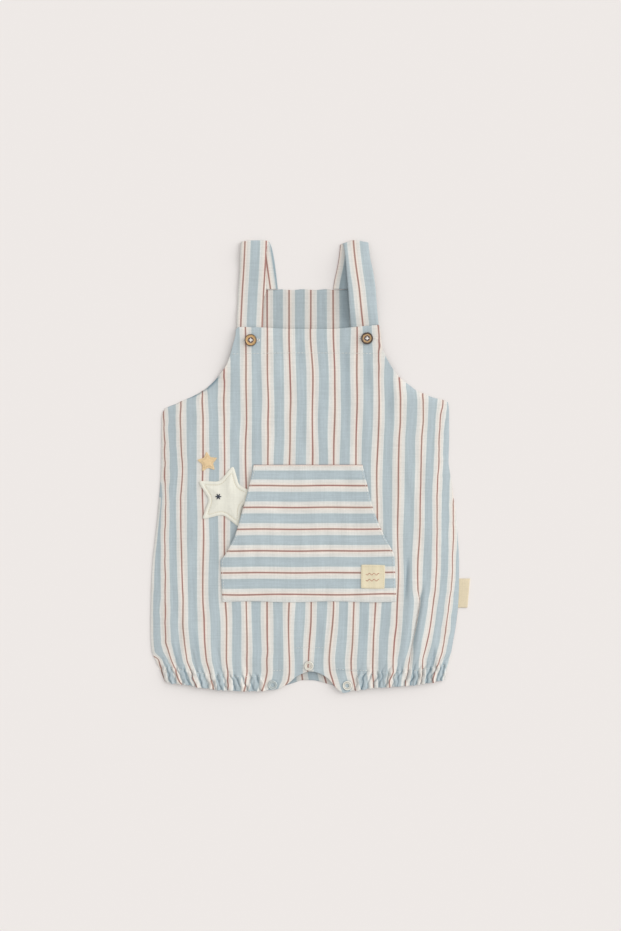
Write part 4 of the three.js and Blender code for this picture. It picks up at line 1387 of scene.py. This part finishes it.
@dataclass
class Stitching:
    """Rows of single stitches laid on the cloth."""

    length: float = 2.1
    gap: float = 0.8
    width: float = 0.42
    rise: float = 0.16

    def one(self, start: Array, end: Array, first: int) -> tuple[Array, list]:
        """Make one stitch, thick in the middle and sunk at its ends.

        Args:
            start: Its first end.
            end: Its other end.
            first: Number of the first new vertex.

        Returns:
            Its points and faces.
        """
        run = end - start
        side = np.cross([0.0, 0.0, 1.0], run)
        side = side / max(float(np.linalg.norm(side)), 1e-9) * self.width / 2
        rise = np.array([0.0, 0.0, self.rise])
        points = [start - rise]
        for share in (0.22, 0.78):
            middle = start + run * share + rise
            points += [middle + side, middle + rise, middle - side, middle - rise]
        points.append(end - rise)
        faces = []
        for j in range(4):
            k = (j + 1) % 4
            faces.append([0, 1 + j, 1 + k])
            faces.append([1 + j, 5 + j, 5 + k, 1 + k])
            faces.append([9, 5 + k, 5 + j])
        return np.array(points), [[first + v for v in face] for face in faces]

    def along(self, path: Array, height: Field) -> Stitches:
        """Cut a path into stitches on a surface, as pairs of ends."""
        run = np.linalg.norm(np.diff(path, axis=0), axis=1)
        place = np.concatenate([[0.0], np.cumsum(run)])
        starts = np.arange(0.0, place[-1] - self.length, self.length + self.gap)
        ends = starts + self.length
        pairs = []
        at = lambda s: np.column_stack([np.interp(s, place, path[:, 0]), np.interp(s, place, path[:, 1])])
        first, last = at(starts), at(ends)
        z_first, z_last = height(first[:, 0], first[:, 1]), height(last[:, 0], last[:, 1])
        for a, b, za, zb in zip(first, last, z_first, z_last):
            pairs.append((np.array([*a, za]), np.array([*b, zb])))
        return pairs

    def sew(
        self, name: str, pairs: Stitches, finish: FleckedFinish, wardrobe: Wardrobe, slot: str
    ) -> Piece:
        """Join stitches into one piece.

        Args:
            name: The piece's name.
            pairs: Both ends of each stitch.
            finish: The thread.
            wardrobe: Built materials.
            slot: Not used.

        Returns:
            The thread's object.
        """
        points, faces, first = [], [], 0
        for start, end in pairs:
            made, sides = self.one(start, end, first)
            points.append(made)
            faces += sides
            first += len(made)
        piece = mesh_object(name, np.vstack(points), faces)
        recalculate(piece)
        wardrobe.dress(piece, finish, slot)
        return piece


def level_stitch(start: Array, end: Array, height: float) -> tuple[Array, Array]:
    """Give both ends of a stitch that lies level."""
    return np.array([*start, height]), np.array([*end, height])


def recalculate(piece: Piece) -> None:
    """Turn the faces of closed small shapes outwards."""
    work = bmesh.new()
    work.from_mesh(piece.data)
    bmesh.ops.recalc_face_normals(work, faces=work.faces)
    work.to_mesh(piece.data)
    work.free()


def curve_path(points: Rows, step: float = 1.0) -> Array:
    """Give a path of close points through a few, straight between them but for softened corners."""
    table = np.array(points, dtype=float)
    run = np.concatenate([[0.0], np.cumsum(np.linalg.norm(np.diff(table, axis=0), axis=1))])
    at = np.linspace(0.0, run[-1], max(2, int(run[-1] / step)))
    return pchip(run, table, at)


@dataclass
class Seams:
    """All the sewn lines of the cloth that show."""

    stitching: Stitching

    def build(self, wardrobe: Wardrobe) -> None:
        """Sew the bib facing, pocket, hems and crotch placket."""
        self.bib(wardrobe)
        self.pocket(wardrobe)
        self.hems(wardrobe)
        self.crotch(wardrobe)

    def sew(self, name: str, paths: list[Array], height: Field, wardrobe: Wardrobe) -> None:
        """Sew white stitches along some paths on one surface."""
        pairs = [pair for path in paths for pair in self.stitching.along(path, height)]
        self.stitching.sew(name, pairs, WHITE_THREAD, wardrobe, "striped_cloth")

    def bib(self, wardrobe: Wardrobe) -> None:
        """Sew the line that holds the bib's facing."""
        level = BIB_FACING_LEVEL
        left, right = FRONT.at(np.array([level]))
        x = np.linspace(left[0] + 1.5, right[0] - 1.5, 120)
        path = np.column_stack([x, level - 0.0008 * (x + 3.0) ** 2 / 4.0])
        facing = Stitching(length=3.0, gap=0.4, width=0.5, rise=0.16)
        pairs = facing.along(path, front_top)
        facing.sew("bib_facing_stitches", pairs, WHITE_THREAD, wardrobe, "striped_cloth")

    def pocket(self, wardrobe: Wardrobe) -> None:
        """Sew the pocket's edges."""
        low, high = POCKET_SECTIONS[0][0], POCKET_SECTIONS[-1][0]
        levels = np.linspace(low + 1.6, high - 1.6, 120)
        left, right = POCKET.at(levels)
        inset = 1.7
        paths = [np.column_stack([left + inset, levels]), np.column_stack([right - inset, levels])]
        for level in (low + 1.6, high - 1.6):
            ends = POCKET.at(np.array([level]))
            x = np.linspace(ends[0][0] + inset, ends[1][0] - inset, 160)
            paths.append(np.column_stack([x, np.full_like(x, level)]))
        self.sew("pocket_stitches", paths, pocket_top, wardrobe)

    def hems(self, wardrobe: Wardrobe) -> None:
        """Sew the elastic casings' upper lines."""
        paths = []
        for start, end in ((-150.0, -49.0), (44.0, 133.0)):
            x = np.linspace(start, end, 160)
            paths.append(np.column_stack([x, lower_edge(x) + HEM_DEPTH]))
        self.sew("hem_stitches", paths, front_top, wardrobe)

    def crotch(self, wardrobe: Wardrobe) -> None:
        """Sew the line that holds the snap placket."""
        lines = (
            ((-20.0, -181.8), (-2.0, -181.2), (15.0, -181.6)),
            ((24.0, -202.6), (40.0, -204.0), (58.0, -204.4)),
            ((-39.0, -204.6), (-28.0, -203.6)),
        )
        self.sew("crotch_stitches", [curve_path(line) for line in lines], front_top, wardrobe)


def deselect_all() -> None:
    """Leave edit mode and select nothing."""
    if bpy.context.object and bpy.context.object.mode != "OBJECT":
        bpy.ops.object.mode_set(mode="OBJECT")
    bpy.ops.object.select_all(action="DESELECT")


def select_only(piece: Piece) -> None:
    """Select one object and make it the active one."""
    deselect_all()
    piece.select_set(True)
    bpy.context.view_layer.objects.active = piece


def select(piece: Piece, kind: str, wanted: Callable[[object], bool]) -> None:
    """Select the faces or the edges that pass a test, in edit mode."""
    bpy.ops.mesh.select_mode(type=kind)
    work = bmesh.from_edit_mesh(piece.data)
    for part in work.faces if kind == "FACE" else work.edges:
        part.select_set(wanted(part))
    bmesh.update_edit_mesh(piece.data)


@dataclass
class FourHoleButton:
    """A four-hole button with a raised rim, and the thread that crosses it."""

    side: str
    x: float
    y: float
    golden: float
    rim: float
    radius: float = 6.0
    depth: float = 2.4
    hole: float = 0.75
    hole_place: float = 2.1
    rim_width: float = 1.25
    slope: tuple[float, float] = (0.45, -0.55)
    dish: tuple[float, float] = (0.9, -0.1)
    rim_round: float = 0.42
    foot_round: float = 0.6

    def seat(self) -> float:
        """Give the height that the button lies at."""
        return front_at(self.x, self.y) + SEAM_GAP

    def body(self) -> Piece:
        """Model the button from a cylinder: sunk middle, round rim, four drilled holes."""
        deselect_all()
        seat = self.seat()
        centre = (self.x * MM, self.y * MM, (seat + self.depth / 2) * MM)
        bpy.ops.mesh.primitive_cylinder_add(
            vertices=56, radius=self.radius * MM, depth=self.depth * MM, location=centre
        )
        piece = bpy.context.object
        piece.name = f"{self.side}_button_body"
        bpy.ops.object.transform_apply(location=True)
        high = (seat + self.depth) * MM
        bpy.ops.object.mode_set(mode="EDIT")
        select(piece, "FACE", lambda face: face.normal.z > 0.9)
        for width, depth in ((self.rim_width, 0.0), self.slope, self.dish):
            bpy.ops.mesh.inset(thickness=width * MM, depth=depth * MM)
        at_level = lambda edge, z: all(abs(v.co.z - z) < 1e-6 for v in edge.verts)
        select(piece, "EDGE", lambda edge: at_level(edge, high) and not edge.is_boundary)
        bpy.ops.mesh.bevel(offset=self.rim_round * MM, segments=3, affect="EDGES")
        select(piece, "EDGE", lambda edge: at_level(edge, seat * MM))
        bpy.ops.mesh.bevel(offset=self.foot_round * MM, segments=3, affect="EDGES")
        bpy.ops.object.mode_set(mode="OBJECT")
        for sx, sy in ((1, 0), (0, 1), (-1, 0), (0, -1)):
            self.drill(piece, self.x + sx * self.hole_place, self.y + sy * self.hole_place, seat)
        select_only(piece)
        bpy.ops.object.shade_smooth_by_angle(angle=math.radians(38))
        return piece

    def drill(self, piece: Piece, x: float, y: float, seat: float) -> None:
        """Cut one thread hole."""
        deselect_all()
        place = (x * MM, y * MM, (seat + self.depth / 2) * MM)
        bpy.ops.mesh.primitive_cylinder_add(
            vertices=18, radius=self.hole * MM, depth=self.depth * 3 * MM, location=place
        )
        cutter = bpy.context.object
        cut = piece.modifiers.new("hole", "BOOLEAN")
        cut.object = cutter
        cut.operation = "DIFFERENCE"
        cut.solver = "EXACT"
        select_only(piece)
        bpy.ops.object.modifier_apply(modifier=cut.name)
        bpy.data.objects.remove(cutter, do_unlink=True)

    def thread(self, wardrobe: Wardrobe) -> None:
        """Cross the holes with white thread."""
        top = self.seat() + self.depth - 0.25
        reach = self.hole_place + 0.45
        pairs = []
        for run in (np.array([1, 0]), np.array([0, 1])):
            for shift in (-0.28, 0.0, 0.28):
                middle = np.array([self.x, self.y]) + run[::-1] * shift
                pairs.append(level_stitch(middle - run * reach, middle + run * reach, top - 0.25))
        sewing = Stitching(width=0.5, rise=0.3)
        sewing.sew(f"{self.side}_button_thread", pairs, BRIGHT_THREAD, wardrobe, "striped_cloth")

    def buttonhole(self, wardrobe: Wardrobe) -> None:
        """Work the buttonhole that shows beside the button."""
        half, reach = BUTTONHOLE_HALF, 1.4
        middle = self.x + 0.6
        pairs = []
        for shift in np.arange(-half, half + 0.01, 0.5):
            for sign in (-1.0, 1.0):
                low = np.array([middle + shift, self.y + sign * 0.25])
                high = np.array([middle + shift, self.y + sign * reach])
                pairs.append(level_stitch(low, high, front_at(*low) + 0.04))
        for sign in (-1.0, 1.0):
            for shift in (-0.9, -0.3, 0.3, 0.9):
                start = np.array([middle + sign * half, self.y + shift])
                end = np.array([middle + sign * (half + 1.3), self.y + shift])
                pairs.append(level_stitch(start, end, front_at(*start) + 0.04))
        sewing = Stitching(width=0.6, rise=0.18)
        sewing.sew(f"{self.side}_buttonhole", pairs, BRIGHT_THREAD, wardrobe, "striped_cloth")

    def build(self, wardrobe: Wardrobe) -> None:
        """Make the button, its thread and its buttonhole."""
        piece = self.body()
        horn = HornFinish(f"{self.side}_horn", self.x, self.y, self.golden, self.rim)
        wardrobe.dress(piece, horn, "horn_button")
        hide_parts(f"{self.side}_button")
        self.thread(wardrobe)
        self.buttonhole(wardrobe)


@dataclass
class RingSnap:
    """An open ring cap of a press stud, with its inner ring."""

    side: str
    x: float
    y: float
    finish: FleckedFinish
    middle_radius: float = 4.0
    half_width: float = 0.62
    half_depth: float = 0.55
    inner: tuple[float, float, float, float] = (2.65, 0.5, 0.36, -0.1)

    def ring(self, name: str, radius: float, half_width: float, half_depth: float, lift: float) -> Piece:
        """Spin a round section about the snap's middle."""
        seat = front_at(self.x, self.y) + SEAM_GAP + lift
        height = (seat + half_depth) * MM
        deselect_all()
        place = ((self.x + radius) * MM, self.y * MM, height)
        upright = (math.pi / 2, 0, 0)
        bpy.ops.mesh.primitive_circle_add(
            vertices=14, radius=half_width * MM, location=place, rotation=upright
        )
        piece = bpy.context.object
        piece.name = name
        piece.scale = (1.0, half_depth / half_width, 1.0)
        bpy.ops.object.transform_apply(location=True, rotation=True, scale=True)
        bpy.ops.object.mode_set(mode="EDIT")
        bpy.ops.mesh.select_all(action="SELECT")
        bpy.ops.mesh.spin(
            steps=44, angle=2 * math.pi, center=(self.x * MM, self.y * MM, height), axis=(0.0, 0.0, 1.0)
        )
        bpy.ops.mesh.select_all(action="SELECT")
        bpy.ops.mesh.remove_doubles(threshold=1e-6)
        bpy.ops.mesh.normals_make_consistent(inside=False)
        bpy.ops.object.mode_set(mode="OBJECT")
        piece.data.shade_smooth()
        return piece

    def build(self, wardrobe: Wardrobe) -> None:
        """Make the cap and the prongs' ring inside it."""
        cap = self.ring(f"{self.side}_snap_cap", self.middle_radius, self.half_width, self.half_depth, 0.0)
        wardrobe.dress(cap, self.finish, "snap_metal")
        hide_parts(f"{self.side}_snap")
        inner = self.ring(f"{self.side}_snap_socket", *self.inner)
        wardrobe.dress(inner, self.finish, "snap_metal")


@dataclass
class Labels:
    """The patch on the pocket, with two rows of waves, and the bare tape label in the side seam."""

    patch_x: float = 60.6
    patch_y: float = -110.4
    patch_side: float = 23.6
    tape_top: float = -112.6
    tape_bottom: float = -141.6
    tape_reach: tuple[float, float] = (157.9, 155.4)
    tape_wall: float = 0.2

    def patch_top(self, x: Array, y: Array) -> Array:
        """Give the height of the patch's outer side, which follows the pocket."""
        return pocket_top(x, y) + PATCH_RISE

    def patch(self, wardrobe: Wardrobe) -> None:
        """Make the patch, its border and two rows of waves worked on it."""
        half = self.patch_side / 2
        line = np.linspace(-half, half, 30)
        gx, gy = np.meshgrid(line, line)
        soft = 1 - 0.02 * (np.abs(gx * gy) / half**2) ** 3
        plan = np.stack([self.patch_x + gx * soft + 0.02 * gy, self.patch_y + gy * soft - 0.02 * gx], axis=-1)
        threads = lambda x, y: np.column_stack([x, y])
        roll = ((0.12, 0.22), (0.14, 0.5), (-0.4, 0.7), (-2.0, 0.72))
        piece = cloth_sheet("patch", plan, self.patch_top, threads, roll)
        wardrobe.dress(piece, PATCH_CLOTH, "label_tape")
        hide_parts("pocket_patch")
        inset = half - 1.3
        ring = ((-inset, -inset), (inset, -inset), (inset, inset), (-inset, inset), (-inset, -inset))
        border = np.vstack([np.linspace(a, b, 30)[:-1] for a, b in zip(ring[:-1], ring[1:])])
        border = border + [self.patch_x, self.patch_y]
        fine = Stitching(length=1.4, gap=0.7, width=0.34, rise=0.12)
        fine.sew("patch_border", fine.along(border, self.patch_top), CREAM_THREAD, wardrobe, "label_tape")
        thick = Stitching(length=1.15, gap=0.12, width=0.6, rise=0.14)
        waves = []
        for rise in (2.6, -3.4):
            x = np.linspace(-7.0, 7.0, 80)
            wave = 1.1 * np.sin(x * 2 * math.pi / 4.6)
            path = np.column_stack([self.patch_x + x, self.patch_y + rise + wave])
            waves += thick.along(path, self.patch_top)
        thick.sew("patch_waves", waves, RUST_THREAD, wardrobe, "label_tape")

    def side_label(self, wardrobe: Wardrobe) -> None:
        """Make the folded tape label as a loop that stands out of the side seam."""
        top, bottom = self.tape_top, self.tape_bottom
        count = 24
        y = np.linspace(top, bottom, count)
        share = (y - top) / (bottom - top)
        seam = FRONT.at(y)[1] - 1.2
        reach = self.tape_reach[0] + (self.tape_reach[1] - self.tape_reach[0]) * share
        radius = 0.6
        profile = []
        for out in np.linspace(0.0, 1.0, 8):
            profile.append((out, 0.0, 0.45 + 0.85 * out**0.7))
        for turned in np.linspace(0.0, 1.0, 9)[1:-1]:
            angle = math.pi * (0.5 - turned)
            profile.append((1.0, radius * math.cos(angle), 0.7 + radius * math.sin(angle)))
        for out in np.linspace(1.0, 0.0, 8):
            profile.append((out, 0.0, 0.1))
        points, uv = [], []
        for k, (out, turn, z) in enumerate(profile):
            x = seam + (reach - radius - seam) * out + turn
            bow = 0.25 * np.sin(math.pi * share) * out
            points.append(np.column_stack([x, y, np.full(count, z) + (bow if z > 0.7 else 0.0)]))
            uv.append(np.column_stack([np.full(count, k * 1.6), y]))
        faces = grid_faces(len(profile), count)
        piece = mesh_object("side_loop", np.vstack(points), faces, np.vstack(uv))
        solid = piece.modifiers.new("thickness", "SOLIDIFY")
        solid.thickness = self.tape_wall * MM
        solid.offset = -1.0
        select_only(piece)
        bpy.ops.object.modifier_apply(modifier=solid.name)
        wardrobe.dress(piece, LABEL_TAPE, "label_tape")
        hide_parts("side_label")


def trim_star(star: StarApplique, wardrobe: Wardrobe) -> None:
    """Sew the line inside a star's edge, where the pocket doesn't cover it."""
    line = Stitching(length=1.7, gap=0.5, width=0.34, rise=0.12)
    path = star.inset_path(star.stitch_inset)
    left = POCKET.at(path[:, 1])[0]
    clear = path[path[:, 0] < left - 1.0]
    jumps = np.where(np.linalg.norm(np.diff(clear, axis=0), axis=1) > 6.0)[0] + 1
    runs = [run for run in np.split(clear, jumps) if len(run) > 3]
    pairs = [pair for run in runs for pair in line.along(run, star.height)]
    line.sew(f"{star.name}_stitches", pairs, CREAM_THREAD, wardrobe, star.slot)


def navy_mark(star: StarApplique, wardrobe: Wardrobe) -> None:
    """Work three short crossing satin stitches in navy on the large star."""
    x, y, reach = star.x - 8.0, star.y + 1.0, 3.4
    top = front_at(x, y) + star.wall + star.dome + 0.1
    pairs = []
    middle = np.array([x, y])
    for turn in (0.0, 60.0, 120.0):
        run = np.array([math.cos(math.radians(turn)), math.sin(math.radians(turn))])
        side = np.array([-run[1], run[0]])
        for shift in (-0.35, 0.0, 0.35):
            start = middle - run * reach + side * shift
            end = middle + run * reach + side * shift
            pairs.append(level_stitch(start, end, top))
    Stitching(width=0.5, rise=0.2).sew("navy_mark", pairs, NAVY_THREAD, wardrobe, "cream_cloth")


@dataclass
class Studio:
    """Pale floor, soft light from the upper right, and a camera straight above."""

    distance: float = 2.4
    frame_height: float = 0.931
    sensor: float = 36.0
    camera_x: float = -0.0017
    camera_y: float = 0.0006

    def camera(self) -> None:
        """Hang the camera over the garment."""
        data = bpy.data.cameras.new("camera")
        data.sensor_width = self.sensor
        data.lens = self.sensor * self.distance / self.frame_height
        data.clip_end = 20.0
        camera = bpy.data.objects.new("camera", data)
        camera.location = (self.camera_x, self.camera_y, self.distance + 3.0 * MM)
        bpy.context.scene.collection.objects.link(camera)
        bpy.context.scene.camera = camera

    def floor(self) -> None:
        """Lay the floor."""
        reach = 6.0
        points = np.array([[-1, -1, 0], [1, -1, 0], [1, 1, 0], [-1, 1, 0]]) * reach
        floor = mesh_object("floor", points / MM, [[0, 1, 2, 3]])
        floor.data.materials.append(FLOOR.build())

    def sun(self, name: str, energy: float, angle: float, towards: Tone) -> None:
        """Hang one soft sun, as wide as its angle in degrees, in a direction from the garment."""
        data = bpy.data.lights.new(name, "SUN")
        data.energy = energy
        data.angle = math.radians(angle)
        lamp = bpy.data.objects.new(name, data)
        lamp.rotation_euler = Vector(towards).to_track_quat("Z", "Y").to_euler()
        bpy.context.scene.collection.objects.link(lamp)

    def lights(self) -> None:
        """Light it evenly from all round and above, with a low soft key from the upper right."""
        world = bpy.data.worlds.new("studio")
        world.use_nodes = True
        background = world.node_tree.nodes["Background"]
        background.inputs["Color"].default_value = (1.0, 1.0, 1.0, 1.0)
        background.inputs["Strength"].default_value = EVEN_LIGHT
        bpy.context.scene.world = world
        self.sun("key", 1.75, 54.0, (0.83, 0.35, 0.42))
        self.sun("overhead", 0.531, 40.0, (0.06, 0.08, 0.995))
        bpy.context.scene.view_settings.view_transform = "Standard"


def main() -> None:
    """Build the studio and every piece of the romper, in sewing order."""
    logging.basicConfig(level=logging.INFO, format="%(message)s")
    studio = Studio()
    studio.camera()
    studio.floor()
    studio.lights()
    wardrobe = Wardrobe()
    panels = Panels()
    panels.back(wardrobe)
    panels.front(wardrobe)
    for strap in (LEFT_STRAP, RIGHT_STRAP):
        strap.build(wardrobe)
    star = StarApplique(
        "star", "star_applique", -85.7, -31.4, 33.0, 6.0, CREAM_CLOTH, "cream_cloth", 3.4, 0.9
    )
    small = StarApplique(
        "small_star", "small_star_applique", -104.5, 4.0, 10.5, 24.0, TAN_CLOTH, "tan_cloth", 1.4, 0.3
    )
    for applique in (star, small):
        applique.build(wardrobe)
        trim_star(applique, wardrobe)
    navy_mark(star, wardrobe)
    KangarooPocket().build(wardrobe)
    Seams(Stitching()).build(wardrobe)
    for button in (("left", -61.4, 125.8, 1.0, 0.86), ("right", 54.8, 127.6, 0.92, 0.72)):
        FourHoleButton(*button).build(wardrobe)
    for side, x, y, finish in SNAPS:
        RingSnap(side, x, y, finish).build(wardrobe)
    labels = Labels()
    labels.patch(wardrobe)
    labels.side_label(wardrobe)


if __name__ == "__main__":
    main()
